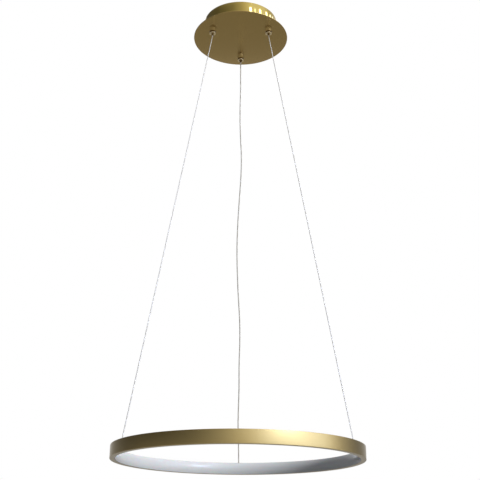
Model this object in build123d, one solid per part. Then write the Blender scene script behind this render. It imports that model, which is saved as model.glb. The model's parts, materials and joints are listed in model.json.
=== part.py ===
from build123d import *
import os
from math import cos, degrees, floor, pi, radians, sin, sqrt, tan

# A ring light that hangs from a ceiling canopy on two steel wires and its power cable.
# Millimetres, +Z up. The origin is the middle of the canopy on the ceiling, and the front is -Y.

# Canopy
DRUM_DIAMETER = 136.0
DRUM_HEIGHT = 34.0
DRUM_WALL = 1.2
DISC_DIAMETER = 176.0
DISC_THICKNESS = 1.5
DISC_EDGE_RADIUS = 0.6
DISC_EDGE_SHARE = 0.45

# Ceiling bracket
BRACKET_WIDTH = 24.0
BRACKET_THICKNESS = 1.5
BRACKET_WALL_GAP = 0.2
TAB_WIDTH = 14.0
TAB_DROP = 20.0
WING_WIDTH = 24.0
WING_LENGTH = 22.0
SLOT_SPACING = 70.0
SLOT_LENGTH = 14.0
SLOT_WIDTH = 5.0
SUPPLY_HOLE_DIAMETER = 12.0

# Screws and fits
THREAD_CLEARANCE = 0.05
SCREW_CLEARANCE = 0.25
RUNNING_CLEARANCE = 0.05
SCREW_SLOT_WIDTH = 0.8
SCREW_SLOT_DEPTH = 0.8
SCREW_HEAD_CHAMFER = 0.5
SIDE_SCREW_DIAMETER = 4.0
SIDE_SCREW_LENGTH = 8.0
SIDE_SCREW_HEAD_DIAMETER = 7.5
SIDE_SCREW_HEAD_HEIGHT = 2.2
SIDE_SCREW_DROP = 13.0

# Earth connection on the bracket
EARTH_SCREW_DIAMETER = 4.0
EARTH_SCREW_HEAD_DIAMETER = 7.0
EARTH_SCREW_HEAD_HEIGHT = 2.4
EARTH_SCREW_FROM_HOLE = 11.0
EARTH_LUG_DIAMETER = 8.5
EARTH_LUG_THICKNESS = 0.8
EARTH_LUG_BARREL_LENGTH = 7.0
EARTH_LUG_BARREL_WALL = 0.6
EARTH_LUG_TONGUE_REACH = 1.75

# Terminal block
POLE_COUNT = 3
POLE_PITCH = 10.0
TERMINAL_WIDTH = 18.0
TERMINAL_HEIGHT = 14.0
TERMINAL_BRACKET_GAP = 2.0
POLE_BORE_DIAMETER = 3.6
POLE_BORE_DROP = 6.0
POLE_SCREW_DIAMETER = 3.0
POLE_SCREW_RECESS = 1.5
FIXING_SCREW_DIAMETER = 2.6
FIXING_HEAD_DIAMETER = 4.6
FIXING_HEAD_HEIGHT = 1.8

# Driver
PAD_THICKNESS = 1.0
PAD_MARGIN = 4.0
DRIVER_HEIGHT = 20.0
DRIVER_WALL = 1.6
DRIVER_BRACKET_GAP = 4.0
DRIVER_GRIP_GAP = 6.0
DRIVER_END_GAP = 6.5
LID_LIP_HEIGHT = 2.0
LID_LIP_WALL = 1.0
LID_FIT = 0.15
LID_EDGE_RADIUS = 0.8
BOARD_THICKNESS = 1.6
BOARD_SIDE_GAP = 0.4
BOSS_DIAMETER = 4.0
BOSS_HEIGHT = 3.0
COMPONENT_HEADROOM = 1.5
TRANSFORMER_LENGTH = 18.0
TRANSFORMER_WIDTH = 15.0
TRANSFORMER_BOBBIN_FLANGE = 1.5
TRANSFORMER_WINDING_INSET = 1.8
CAPACITOR_COUNT = 2
CAPACITOR_DIAMETER = 8.0
CAPACITOR_PITCH = 10.0
CAPACITOR_EDGE_RADIUS = 0.5
LEAD_DIAMETER = 1.6
LEAD_SPACING = 4.0
CABLE_ENTRY_FROM_END = 7.2
CABLE_ENTRY_BELOW_LIP = 3.0

# Grips under the disc: two wire grippers and one cable grip on a common circle
GRIP_ANGLES = {"left": 210.0, "right": 330.0}
REAR_ANGLE = 90.0
GRIP_WALL_GAP = 1.0
BARREL_DIAMETER = 12.0
BARREL_CHAMFER = 0.8
BARREL_FLOOR = 1.4
STUD_FOOT_HEIGHT = 2.0
STUD_LEDGE = 1.0
NECK_DIAMETER = 6.0
NECK_WALL = 0.8
NECK_ROOF = 2.0
NECK_PROUD = 2.0
NUT_ACROSS_FLATS = 10.0
NUT_THICKNESS = 5.0
WASHER_DIAMETER = 11.0
WASHER_THICKNESS = 1.0
PLUNGER_DIAMETER = 4.0
PLUNGER_PROUD = 4.0
PLUNGER_TRAVEL = 1.8
PLUNGER_STOP_GAP = 0.3
PLUNGER_MOUTH_CHAMFER = 0.4
COLLAR_DIAMETER = 5.0
COLLAR_HEIGHT = 0.8
BALL_COUNT = 3
BALL_DIAMETER = 1.6
BALL_WIRE_GAP = 0.03
BALL_POCKET_CLEARANCE = 0.1
CONE_FOOT_GAP = 0.25
CONE_TOP_GAP = 0.8
SPRING_SIDE_GAP = 0.2
SPRING_WALL = 0.6
COLLET_WALL = 2.2
GRUB_DIAMETER = 3.0
GRUB_RECESS = 0.3

# Wires and power cable
WIRE_DIAMETER = 1.5
WIRE_BORE_CLEARANCE = 0.15
WIRE_TAIL = 6.0
WIRE_BEND_RADIUS = 8.0
WIRE_BEND_OFFSET = 1.5
CABLE_DIAMETER = 2.0
CABLE_STRAIGHT_TOP = 19.5
CABLE_STRAIGHT_FOOT = 24.0
CORD_ARC_SHARE = 0.45

# Ring
DROP = 779.0
RING_DIAMETER = 400.0
RING_HEIGHT = 20.0
RING_DEPTH = 9.0
PROFILE_WALL = 1.5
PROFILE_FLANGE = 1.4
PROFILE_EDGE_BREAK = 0.5
SEAM_ANGLE = 110.0
SEAM_GAP = 0.3
DIFFUSER_FACE = 1.2
DIFFUSER_CROWN = 2.5
DIFFUSER_EDGE_GAP = 0.2
DIFFUSER_EDGE_BREAK = 0.4
DIFFUSER_LEG_LENGTH = 1.6
DIFFUSER_LEG_THICKNESS = 1.0
DIFFUSER_LEG_GAP = 0.1
STRIP_THICKNESS = 0.3
STRIP_WIDTH = 8.0
CHIP_WIDTH = 3.5
CHIP_HEIGHT = 2.8
CHIP_THICKNESS = 0.8
CHIP_SOLDER_GAP = 0.01
CHIP_PITCH = 10.4
CONNECTOR_LENGTH = 40.0
CONNECTOR_CHIP_GAP = 3.2
CONNECTOR_SIDE_GAP = 0.2
JOINT_SCREW_DIAMETER = 2.5
JOINT_SCREW_FROM_SEAM = 10.0
JOINT_SCREW_RECESS = 0.1
JOINT_SCREW_FLOOR = 0.5
WIRE_STOP_DIAMETER = 3.0
WIRE_STOP_LENGTH = 4.5
BUSH_DIAMETER = 5.2
BUSH_HEIGHT = 0.6
BUSH_NECK_DIAMETER = 3.4
BUSH_NECK_BELOW = 0.8
CLAMP_DIAMETER = 3.6
CLAMP_LENGTH = 4.0
CABLE_END_PROUD = 0.4
STRIP_LEAD_DIAMETER = 0.6
STRIP_LEAD_SPACING = 1.0
STRIP_LEAD_DROP = 1.0
STRIP_LEAD_SOLDER_GAP = 0.06

# Heights of the canopy's faces
floor_top = DRUM_WALL - DRUM_HEIGHT
disc_underside = -DRUM_HEIGHT - DISC_THICKNESS
drum_radius = DRUM_DIAMETER / 2
drum_inner_radius = drum_radius - DRUM_WALL
bracket_underside = -BRACKET_THICKNESS
tab_face = sqrt((drum_inner_radius - BRACKET_WALL_GAP) ** 2 - (TAB_WIDTH / 2) ** 2)

# Grips
neck_radius = NECK_DIAMETER / 2
nut_corner_radius = NUT_ACROSS_FLATS / sqrt(3)
grip_circle_radius = (
    drum_inner_radius - max(nut_corner_radius, WASHER_DIAMETER / 2) - GRIP_WALL_GAP
)
neck_top = floor_top + WASHER_THICKNESS + NUT_THICKNESS + NECK_PROUD
chamber_height = (
    PLUNGER_STOP_GAP + PLUNGER_TRAVEL + COLLAR_HEIGHT + BALL_DIAMETER + 2 * BALL_POCKET_CLEARANCE
)
barrel_height = STUD_FOOT_HEIGHT + chamber_height + BARREL_FLOOR
barrel_foot = disc_underside - barrel_height
chamber_top = disc_underside - STUD_FOOT_HEIGHT
chamber_floor = barrel_foot + BARREL_FLOOR
grip_mouth = barrel_foot - PLUNGER_PROUD
plunger_radius = PLUNGER_DIAMETER / 2
plunger_top = chamber_top - PLUNGER_STOP_GAP - PLUNGER_TRAVEL
collar_radius = COLLAR_DIAMETER / 2
ball_row = chamber_floor + BALL_POCKET_CLEARANCE + BALL_DIAMETER / 2
cone_top_radius = collar_radius + CONE_TOP_GAP
stud_foot_radius = cone_top_radius + STUD_LEDGE
spring_pocket_radius = neck_radius - NECK_WALL
spring_seat = neck_top - NECK_ROOF
wire_radius = WIRE_DIAMETER / 2
wire_bore_radius = wire_radius + WIRE_BORE_CLEARANCE
cable_radius = CABLE_DIAMETER / 2
cable_bore_radius = cable_radius + RUNNING_CLEARANCE
collet_radius = cable_radius + COLLET_WALL
grub_height = (barrel_foot + chamber_top) / 2

# Driver
driver_near = BRACKET_WIDTH / 2 + DRIVER_BRACKET_GAP
driver_far = grip_circle_radius - nut_corner_radius - DRIVER_GRIP_GAP
driver_width = driver_far - driver_near
driver_middle = (driver_near + driver_far) / 2
driver_length = 2 * (sqrt(drum_inner_radius**2 - driver_far**2) - DRIVER_END_GAP)
driver_foot = floor_top + PAD_THICKNESS
driver_case_top = driver_foot + DRIVER_HEIGHT - DRIVER_WALL
driver_middle_height = (driver_foot + driver_case_top) / 2
board_foot = driver_foot + DRIVER_WALL + BOSS_HEIGHT
board_top = board_foot + BOARD_THICKNESS
board_length = driver_length - 2 * (DRIVER_WALL + BOARD_SIDE_GAP)
board_width = driver_width - 2 * (DRIVER_WALL + BOARD_SIDE_GAP)
lip_foot = driver_case_top - LID_LIP_HEIGHT
component_height = lip_foot - COMPONENT_HEADROOM - board_top
lead_offsets = (-LEAD_SPACING / 2, LEAD_SPACING / 2)
cable_entry_x = driver_length / 2 - CABLE_ENTRY_FROM_END
cable_entry_height = lip_foot - CABLE_ENTRY_BELOW_LIP

# Terminal block
terminal_length = POLE_COUNT * POLE_PITCH
terminal_rear = -BRACKET_WIDTH / 2 - TERMINAL_BRACKET_GAP
terminal_middle = terminal_rear - TERMINAL_WIDTH / 2
terminal_foot = bracket_underside - TERMINAL_HEIGHT
pole_bore_height = bracket_underside - POLE_BORE_DROP
poles = [(index - (POLE_COUNT - 1) / 2) * POLE_PITCH for index in range(POLE_COUNT)]
fixing_places = [(left + right) / 2 for left, right in zip(poles, poles[1:])]
earth_screw_x = SUPPLY_HOLE_DIAMETER / 2 + EARTH_SCREW_FROM_HOLE
earth_lug_foot = bracket_underside - EARTH_LUG_THICKNESS
earth_lug_radius = EARTH_LUG_DIAMETER / 2
earth_bore_radius = LEAD_DIAMETER / 2 + RUNNING_CLEARANCE
earth_barrel_radius = earth_bore_radius + EARTH_LUG_BARREL_WALL
earth_barrel_axis = bracket_underside - earth_barrel_radius
earth_barrel_reach = earth_lug_radius + EARTH_LUG_BARREL_LENGTH

# Ring
ring_radius = RING_DIAMETER / 2
ring_foot = disc_underside - DROP
ring_top = ring_foot + RING_HEIGHT
ring_middle = (ring_foot + ring_top) / 2
channel_foot = ring_foot + PROFILE_FLANGE
channel_top = ring_top - PROFILE_FLANGE
wall_face = ring_radius - PROFILE_WALL
strip_face = wall_face - STRIP_THICKNESS
diffuser_face = ring_radius - RING_DEPTH
diffuser_back = diffuser_face + DIFFUSER_FACE
leg_end = diffuser_back + DIFFUSER_LEG_LENGTH
anchor_radius = (leg_end + wall_face) / 2
connector_height = (channel_top - channel_foot - CHIP_HEIGHT) / 2 - CONNECTOR_CHIP_GAP
connector_foot = channel_top - connector_height
clamp_top = channel_top - BUSH_NECK_BELOW
clamp_foot = clamp_top - CLAMP_LENGTH
cable_end = clamp_foot - CABLE_END_PROUD
seam_span = degrees(SEAM_GAP / ring_radius)
connector_inner = leg_end + CONNECTOR_SIDE_GAP
connector_outer = strip_face - CONNECTOR_SIDE_GAP
connector_middle = (connector_inner + connector_outer) / 2
joint_screw_step = degrees(JOINT_SCREW_FROM_SEAM / ring_radius)
joint_screw_angles = (SEAM_ANGLE - joint_screw_step, SEAM_ANGLE + joint_screw_step)

# The power cable's loose waves between its straight ends: share of the way down,
# then how far it stands to the right of and behind the straight line.
CABLE_WAVES = [
    (0.060, 0.4, -1.0),
    (0.120, -0.9, -1.3),
    (0.180, 0.1, -0.8),
    (0.242, 2.8, -0.2),
    (0.300, 1.7, 0.5),
    (0.362, -1.4, 0.3),
    (0.425, -4.0, -0.4),
    (0.488, -5.3, -0.8),
    (0.550, -4.4, -0.3),
    (0.612, -2.4, 0.4),
    (0.672, 0.7, 0.6),
    (0.730, 1.3, 0.1),
    (0.792, -0.3, 0.3),
    (0.850, 0.2, 0.9),
    (0.906, -1.2, 1.3),
    (0.955, -1.5, 0.9),
]


def turned(outline):
    """Solid turned about Z from a closed outline of (radius, height) points."""
    face = make_face(Polyline([(radius, 0, height) for radius, height in outline], close=True))
    return revolve(face, Axis.Z)


def swept_round(outline, start, span):
    """The same outline turned about Z over a span of degrees from a start angle."""
    face = make_face(Polyline([(radius, 0, height) for radius, height in outline], close=True))
    return swept_face(face, start, span)


def swept_face(face, start, span):
    """An upright face turned about Z over a span of degrees from a start angle."""
    return Rot(0, 0, start) * revolve(face, Axis.Z, revolution_arc=span)


def rod(radius, low, high):
    """Upright round bar on the Z axis between two heights."""
    return Pos(0, 0, (low + high) / 2) * Cylinder(radius, high - low)


def sleeve(outer, inner, low, high):
    """Upright tube on the Z axis between two heights."""
    return rod(outer, low, high) - rod(inner, low, high)


def block(length, width, low, high):
    """Upright rectangular block on the Z axis between two heights."""
    return Pos(0, 0, (low + high) / 2) * Box(length, width, high - low)


def on_circle(angle, radius):
    """Place on a circle about Z, turned so that local +X points outwards."""
    return Rot(0, 0, angle) * Pos(radius, 0, 0)


def rear_first(shape):
    """A group of copies of a grip piece at the rear, left and right places."""
    angles = [REAR_ANGLE, *GRIP_ANGLES.values()]
    return Compound(children=[on_circle(angle, grip_circle_radius) * shape for angle in angles])


def cord_tube(name, points, diameter, bend_radius=None):
    """Round tube along straight runs joined by tangent arcs, with its radii printed."""
    places = [Vector(*point) for point in points]
    radii = []
    for before, corner, after in zip(places, places[1:], places[2:]):
        turn = radians((corner - before).get_angle(after - corner))
        shorter = min((corner - before).length, (after - corner).length)
        radii.append(bend_radius or CORD_ARC_SHARE * shorter / tan(turn / 2))
    path = FilletPolyline(*places, radius=radii) if radii else Line(*places)
    section = Plane(origin=path @ 0, z_dir=path % 0) * Circle(diameter / 2)
    tube = sweep(section, path=path)
    expected = pi * diameter**2 / 4 * path.length
    print(f"{name}: length {path.length:.1f}, radii {[round(radius, 1) for radius in radii]},"
          f" volume share {tube.volume / expected:.5f}")
    return tube


def cross_hole(radius, wall):
    """Cutter along X for a hole through a wall, with room to spare on both sides."""
    return Rot(0, 90, 0) * Cylinder(radius, 4 * wall)


def screw(diameter, length, head_diameter, head_height):
    """Pan-head screw on Z: the head's seat is at height 0, the shank points up."""
    head = rod(head_diameter / 2, -head_height, 0)
    head = chamfer(head.edges().group_by(Axis.Z)[0], SCREW_HEAD_CHAMFER)
    slot = block(head_diameter, SCREW_SLOT_WIDTH, -head_height, SCREW_SLOT_DEPTH - head_height)
    return head - slot + rod(diameter / 2, 0, length)


def canopy_drum():
    cup = turned([
        (0, -DRUM_HEIGHT),
        (drum_radius, -DRUM_HEIGHT),
        (drum_radius, 0),
        (drum_inner_radius, 0),
        (drum_inner_radius, floor_top),
        (0, floor_top),
    ])
    neck_hole = rod(neck_radius + SCREW_CLEARANCE, -DRUM_HEIGHT, floor_top)
    for angle in [REAR_ANGLE, *GRIP_ANGLES.values()]:
        cup -= on_circle(angle, grip_circle_radius) * neck_hole
    side_hole = cross_hole(SIDE_SCREW_DIAMETER / 2 + SCREW_CLEARANCE, DRUM_WALL)
    for side in (-1, 1):
        cup -= Pos(side * drum_radius, 0, -SIDE_SCREW_DROP) * side_hole
    return cup


def canopy_disc():
    plate = rod(DISC_DIAMETER / 2, disc_underside, -DRUM_HEIGHT)
    edge_radius = min(DISC_EDGE_RADIUS, DISC_EDGE_SHARE * DISC_THICKNESS)
    plate = fillet(plate.edges().filter_by(GeomType.CIRCLE), edge_radius)
    neck_hole = rod(neck_radius + SCREW_CLEARANCE, disc_underside, -DRUM_HEIGHT)
    for angle in [REAR_ANGLE, *GRIP_ANGLES.values()]:
        plate -= on_circle(angle, grip_circle_radius) * neck_hole
    return plate


def ceiling_bracket():
    """Strap with slots for the ceiling screws, two bent tabs and a wing for the terminal block."""
    strap = block(2 * tab_face, BRACKET_WIDTH, bracket_underside, 0)
    strap &= rod(drum_inner_radius - BRACKET_WALL_GAP, bracket_underside, 0)
    wing_middle = -(BRACKET_WIDTH + WING_LENGTH) / 2
    strap += Pos(0, wing_middle, 0) * block(WING_WIDTH, WING_LENGTH, bracket_underside, 0)
    tab_hole = cross_hole(SIDE_SCREW_DIAMETER / 2 + THREAD_CLEARANCE, BRACKET_THICKNESS)
    for side in (-1, 1):
        tab_middle = side * (tab_face - BRACKET_THICKNESS / 2)
        strap += Pos(tab_middle, 0, 0) * block(BRACKET_THICKNESS, TAB_WIDTH, -TAB_DROP, 0)
        strap -= Pos(tab_middle, 0, -SIDE_SCREW_DROP) * tab_hole
        slot = SlotOverall(SLOT_LENGTH, SLOT_WIDTH)
        strap -= Pos(side * SLOT_SPACING / 2, 0, bracket_underside) * extrude(slot, BRACKET_THICKNESS)
    strap -= rod(SUPPLY_HOLE_DIAMETER / 2, bracket_underside, 0)
    earth_hole = rod(EARTH_SCREW_DIAMETER / 2 + THREAD_CLEARANCE, bracket_underside, 0)
    strap -= Pos(earth_screw_x, 0, 0) * earth_hole
    fixing_hole = rod(FIXING_SCREW_DIAMETER / 2 + THREAD_CLEARANCE, bracket_underside, 0)
    for place in fixing_places:
        strap -= Pos(place, terminal_middle, 0) * fixing_hole
    return strap


def side_screws():
    one = screw(
        SIDE_SCREW_DIAMETER, SIDE_SCREW_LENGTH, SIDE_SCREW_HEAD_DIAMETER, SIDE_SCREW_HEAD_HEIGHT)
    right = Pos(drum_radius, 0, -SIDE_SCREW_DROP) * Rot(0, -90, 0) * one
    return Compound(children=[right, Rot(0, 0, 180) * right])


def earth_screw():
    shank = BRACKET_THICKNESS + EARTH_LUG_THICKNESS
    one = screw(EARTH_SCREW_DIAMETER, shank, EARTH_SCREW_HEAD_DIAMETER, EARTH_SCREW_HEAD_HEIGHT)
    return Pos(earth_screw_x, 0, earth_lug_foot) * one


def earth_lug():
    """Ring terminal under the bracket with a crimp barrel that points to the front."""
    ring = sleeve(
        earth_lug_radius, EARTH_SCREW_DIAMETER / 2 + SCREW_CLEARANCE, earth_lug_foot, bracket_underside)
    tongue = Pos(0, -earth_lug_radius, 0) * block(
        2 * earth_barrel_radius, 2 * EARTH_LUG_TONGUE_REACH, earth_lug_foot, bracket_underside)
    tongue -= rod(earth_lug_radius - EARTH_LUG_BARREL_WALL, earth_lug_foot, bracket_underside)
    towards_front = Pos(0, 0, earth_barrel_axis) * Rot(90, 0, 0)
    barrel = towards_front * sleeve(
        earth_barrel_radius, earth_bore_radius, earth_lug_radius, earth_barrel_reach)
    bore = towards_front * rod(earth_bore_radius, earth_lug_radius, earth_barrel_reach)
    return Pos(earth_screw_x, 0, 0) * (ring + (tongue - bore) + barrel)


def terminal_block():
    body = Pos(0, terminal_middle, 0) * block(
        terminal_length, TERMINAL_WIDTH, terminal_foot, bracket_underside)
    pole_bore = Rot(90, 0, 0) * Cylinder(POLE_BORE_DIAMETER / 2, TERMINAL_WIDTH)
    well = rod(POLE_SCREW_DIAMETER / 2 + THREAD_CLEARANCE, terminal_foot, pole_bore_height)
    for pole in poles:
        body -= Pos(pole, terminal_middle, pole_bore_height) * pole_bore
        body -= Pos(pole, terminal_middle, 0) * well
    shank_hole = rod(FIXING_SCREW_DIAMETER / 2 + SCREW_CLEARANCE, terminal_foot, bracket_underside)
    head_hole = rod(
        FIXING_HEAD_DIAMETER / 2 + SCREW_CLEARANCE, terminal_foot, terminal_foot + FIXING_HEAD_HEIGHT)
    for place in fixing_places:
        body -= Pos(place, terminal_middle, 0) * (shank_hole + head_hole)
    return body


def terminal_screws():
    """Clamp screws of the poles, which end where the wire bores begin."""
    one = rod(
        POLE_SCREW_DIAMETER / 2, terminal_foot + POLE_SCREW_RECESS,
        pole_bore_height - POLE_BORE_DIAMETER / 2)
    slot = block(
        POLE_SCREW_DIAMETER, SCREW_SLOT_WIDTH, terminal_foot + POLE_SCREW_RECESS,
        terminal_foot + POLE_SCREW_RECESS + SCREW_SLOT_DEPTH)
    return Compound(children=[Pos(pole, terminal_middle, 0) * (one - slot) for pole in poles])


def terminal_fixing_screws():
    shank = TERMINAL_HEIGHT - FIXING_HEAD_HEIGHT + BRACKET_THICKNESS
    one = screw(FIXING_SCREW_DIAMETER, shank, FIXING_HEAD_DIAMETER, FIXING_HEAD_HEIGHT)
    seat = terminal_foot + FIXING_HEAD_HEIGHT
    return Compound(children=[Pos(place, terminal_middle, seat) * one for place in fixing_places])


def driver_pad():
    return Pos(0, driver_middle, 0) * block(
        driver_length - 2 * PAD_MARGIN, driver_width - 2 * PAD_MARGIN, floor_top, driver_foot)


def driver_case():
    """Open tray with four bosses for the board and holes for the leads and the cable."""
    tray = block(driver_length, driver_width, driver_foot, driver_case_top)
    tray -= block(
        driver_length - 2 * DRIVER_WALL, driver_width - 2 * DRIVER_WALL,
        driver_foot + DRIVER_WALL, driver_case_top)
    boss = rod(BOSS_DIAMETER / 2, driver_foot + DRIVER_WALL, board_foot)
    for along in (-1, 1):
        for across in (-1, 1):
            tray += Pos(
                along * (board_length - BOSS_DIAMETER) / 2,
                across * (board_width - BOSS_DIAMETER) / 2, 0) * boss
    lead_hole = cross_hole(LEAD_DIAMETER / 2 + SCREW_CLEARANCE, DRIVER_WALL)
    for offset in lead_offsets:
        tray -= Pos(-driver_length / 2, offset, driver_middle_height) * lead_hole
    cable_hole = Rot(0, 0, 90) * cross_hole(cable_radius + SCREW_CLEARANCE, DRIVER_WALL)
    tray -= Pos(cable_entry_x, driver_width / 2, cable_entry_height) * cable_hole
    return Pos(0, driver_middle, 0) * tray


def driver_lid():
    cover = block(driver_length, driver_width, driver_case_top, driver_case_top + DRIVER_WALL)
    cover = fillet(cover.edges().group_by(Axis.Z)[-1], LID_EDGE_RADIUS)
    lip_length = driver_length - 2 * (DRIVER_WALL + LID_FIT)
    lip_width = driver_width - 2 * (DRIVER_WALL + LID_FIT)
    lip = block(lip_length, lip_width, lip_foot, driver_case_top)
    lip -= block(
        lip_length - 2 * LID_LIP_WALL, lip_width - 2 * LID_LIP_WALL, lip_foot, driver_case_top)
    return Pos(0, driver_middle, 0) * (cover + lip)


def driver_board():
    return Pos(0, driver_middle, 0) * block(board_length, board_width, board_foot, board_top)


def driver_transformer():
    """Core block round a narrower winding between two bobbin flanges."""
    top = board_top + component_height
    core = block(TRANSFORMER_LENGTH, TRANSFORMER_WIDTH, board_top, top)
    groove_length = TRANSFORMER_LENGTH - 2 * TRANSFORMER_BOBBIN_FLANGE
    groove = block(
        groove_length, TRANSFORMER_WIDTH, board_top + TRANSFORMER_BOBBIN_FLANGE,
        top - TRANSFORMER_BOBBIN_FLANGE)
    winding = block(
        groove_length, TRANSFORMER_WIDTH - 2 * TRANSFORMER_WINDING_INSET,
        board_top + TRANSFORMER_BOBBIN_FLANGE, top - TRANSFORMER_BOBBIN_FLANGE)
    return Pos(0, driver_middle, 0) * (core - groove + winding)


def driver_capacitors():
    one = rod(CAPACITOR_DIAMETER / 2, board_top, board_top + component_height)
    one = fillet(one.edges().group_by(Axis.Z)[-1], CAPACITOR_EDGE_RADIUS)
    first = TRANSFORMER_LENGTH / 2 + CAPACITOR_DIAMETER / 2 + BOARD_SIDE_GAP
    places = [-(first + index * CAPACITOR_PITCH) for index in range(CAPACITOR_COUNT)]
    return Compound(children=[Pos(place, driver_middle, 0) * one for place in places])


def mains_leads():
    """Two leads from the driver's end, one above the other, into the first two poles."""
    start = -driver_length / 2
    height = driver_middle_height
    near, far = (driver_middle + offset for offset in lead_offsets)
    upper = cord_tube("upper mains lead", [
        (start, near, height),
        (start - 7, near, height),
        (start - 12, near - 6, height + 1),
        (start - 11, near - 15, height + 4),
        (start - 2, near - 24, height + 8),
        (poles[0] - 20, 1, pole_bore_height - 3.5),
        (poles[0] - 7, -1.5, pole_bore_height - 1),
        (poles[0], terminal_rear + 8, pole_bore_height),
        (poles[0], terminal_rear - 4, pole_bore_height),
    ], LEAD_DIAMETER)
    lower = cord_tube("lower mains lead", [
        (start, far, height),
        (start - 7.5, far, height),
        (start - 14, far - 6.5, height + 0.5),
        (start - 13, far - 17, height + 1.5),
        (start - 4, far - 25, height + 4),
        (poles[1] - 31, 4.5, pole_bore_height - 7.5),
        (poles[1] - 18, 2.5, pole_bore_height - 4),
        (poles[1] - 7, 1, pole_bore_height - 1.5),
        (poles[1], terminal_rear + 9, pole_bore_height),
        (poles[1], terminal_rear - 4, pole_bore_height),
    ], LEAD_DIAMETER)
    return Compound(children=[upper, lower])


def earth_lead():
    """Lead from the lug's barrel past the block's end and back into the last pole."""
    front = terminal_rear - TERMINAL_WIDTH
    last_pole = poles[-1]
    return cord_tube("earth lead", [
        (earth_screw_x, 5 - earth_barrel_reach, earth_barrel_axis),
        (earth_screw_x, -4 - earth_barrel_reach, earth_barrel_axis),
        (earth_screw_x + 3.5, front + 10, pole_bore_height + 1.5),
        (last_pole + 11.5, front + 2, pole_bore_height),
        (last_pole + 11.5, front - 6.4, pole_bore_height),
        (last_pole + 8.1, front - 9.8, pole_bore_height),
        (last_pole + 3.4, front - 9.8, pole_bore_height),
        (last_pole, front - 6.4, pole_bore_height),
        (last_pole, front + 3, pole_bore_height),
    ], LEAD_DIAMETER)


def cable_tail():
    """The power cable's inner end, from the top of the rear grip to the driver."""
    return cord_tube("cable tail", [
        (0, grip_circle_radius, neck_top),
        (0, grip_circle_radius, neck_top + 15),
        (cable_entry_x - 13, grip_circle_radius, neck_top + 14),
        (cable_entry_x - 3.5, driver_far + 10.3, cable_entry_height + 3.4),
        (cable_entry_x, driver_far + 6.3, cable_entry_height),
        (cable_entry_x, driver_far, cable_entry_height),
    ], CABLE_DIAMETER)


def gripper_barrel():
    """Turned sleeve: recess for the stud above, ball cone under it, plunger guide at the foot."""
    barrel_radius = BARREL_DIAMETER / 2
    recess_radius = stud_foot_radius + THREAD_CLEARANCE
    guide_radius = plunger_radius + RUNNING_CLEARANCE
    return turned([
        (guide_radius, barrel_foot),
        (barrel_radius - BARREL_CHAMFER, barrel_foot),
        (barrel_radius, barrel_foot + BARREL_CHAMFER),
        (barrel_radius, disc_underside),
        (recess_radius, disc_underside),
        (recess_radius, chamber_top),
        (cone_top_radius, chamber_top),
        (plunger_radius + CONE_FOOT_GAP, chamber_floor),
        (guide_radius, chamber_floor),
    ])


def gripper_stud():
    """Threaded neck with a foot in the barrel, a pocket for the spring and a bore for the wire."""
    return turned([
        (spring_pocket_radius, chamber_top),
        (stud_foot_radius, chamber_top),
        (stud_foot_radius, disc_underside),
        (neck_radius, disc_underside),
        (neck_radius, neck_top),
        (wire_bore_radius, neck_top),
        (wire_bore_radius, spring_seat),
        (spring_pocket_radius, spring_seat),
    ])


def gripper_spring():
    """Envelope of the plunger's coil spring, round the wire."""
    outer = spring_pocket_radius - SPRING_SIDE_GAP
    return sleeve(outer, outer - SPRING_WALL, plunger_top, spring_seat)


def plunger():
    """Release tube round the wire, with a stop collar and a pocket for each ball."""
    tube = turned([
        (wire_bore_radius, grip_mouth),
        (plunger_radius - PLUNGER_MOUTH_CHAMFER, grip_mouth),
        (plunger_radius, grip_mouth + PLUNGER_MOUTH_CHAMFER),
        (plunger_radius, plunger_top - COLLAR_HEIGHT),
        (collar_radius, plunger_top - COLLAR_HEIGHT),
        (collar_radius, plunger_top),
        (wire_bore_radius, plunger_top),
    ])
    pocket = Pos(plunger_radius / 2, 0, ball_row) * Rot(0, 90, 0) * Cylinder(
        BALL_DIAMETER / 2 + BALL_POCKET_CLEARANCE / 2, plunger_radius)
    for index in range(BALL_COUNT):
        tube -= Rot(0, 0, index * 360 / BALL_COUNT) * pocket
    return tube


def grip_balls():
    reach = wire_radius + BALL_WIRE_GAP + BALL_DIAMETER / 2
    one = Pos(reach, 0, ball_row) * Sphere(BALL_DIAMETER / 2)
    return [Rot(0, 0, index * 360 / BALL_COUNT) * one for index in range(BALL_COUNT)]


def cable_grip_body():
    """Barrel and neck in one piece, with a pocket for the collet and a grub screw behind."""
    barrel_radius = BARREL_DIAMETER / 2
    pocket_radius = collet_radius + RUNNING_CLEARANCE
    body = turned([
        (pocket_radius, barrel_foot),
        (barrel_radius - BARREL_CHAMFER, barrel_foot),
        (barrel_radius, barrel_foot + BARREL_CHAMFER),
        (barrel_radius, disc_underside),
        (neck_radius, disc_underside),
        (neck_radius, neck_top),
        (cable_bore_radius, neck_top),
        (cable_bore_radius, chamber_top),
        (pocket_radius, chamber_top),
    ])
    grub_hole = rod(GRUB_DIAMETER / 2 + THREAD_CLEARANCE, 0, barrel_radius)
    return body - Pos(0, 0, grub_height) * Rot(0, 90, 0) * grub_hole


def cable_grip_collet():
    """Brass bush that grips the cable, with a nipple below the barrel."""
    return turned([
        (cable_bore_radius, grip_mouth),
        (plunger_radius - PLUNGER_MOUTH_CHAMFER, grip_mouth),
        (plunger_radius, grip_mouth + PLUNGER_MOUTH_CHAMFER),
        (plunger_radius, barrel_foot),
        (collet_radius, barrel_foot),
        (collet_radius, chamber_top),
        (cable_bore_radius, chamber_top),
    ])


def cable_grip_screw():
    outer_end = BARREL_DIAMETER / 2 - GRUB_RECESS
    one = rod(GRUB_DIAMETER / 2, collet_radius, outer_end)
    one -= block(GRUB_DIAMETER, SCREW_SLOT_WIDTH, outer_end - SCREW_SLOT_DEPTH, outer_end)
    return Pos(0, 0, grub_height) * Rot(0, 90, 0) * one


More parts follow.
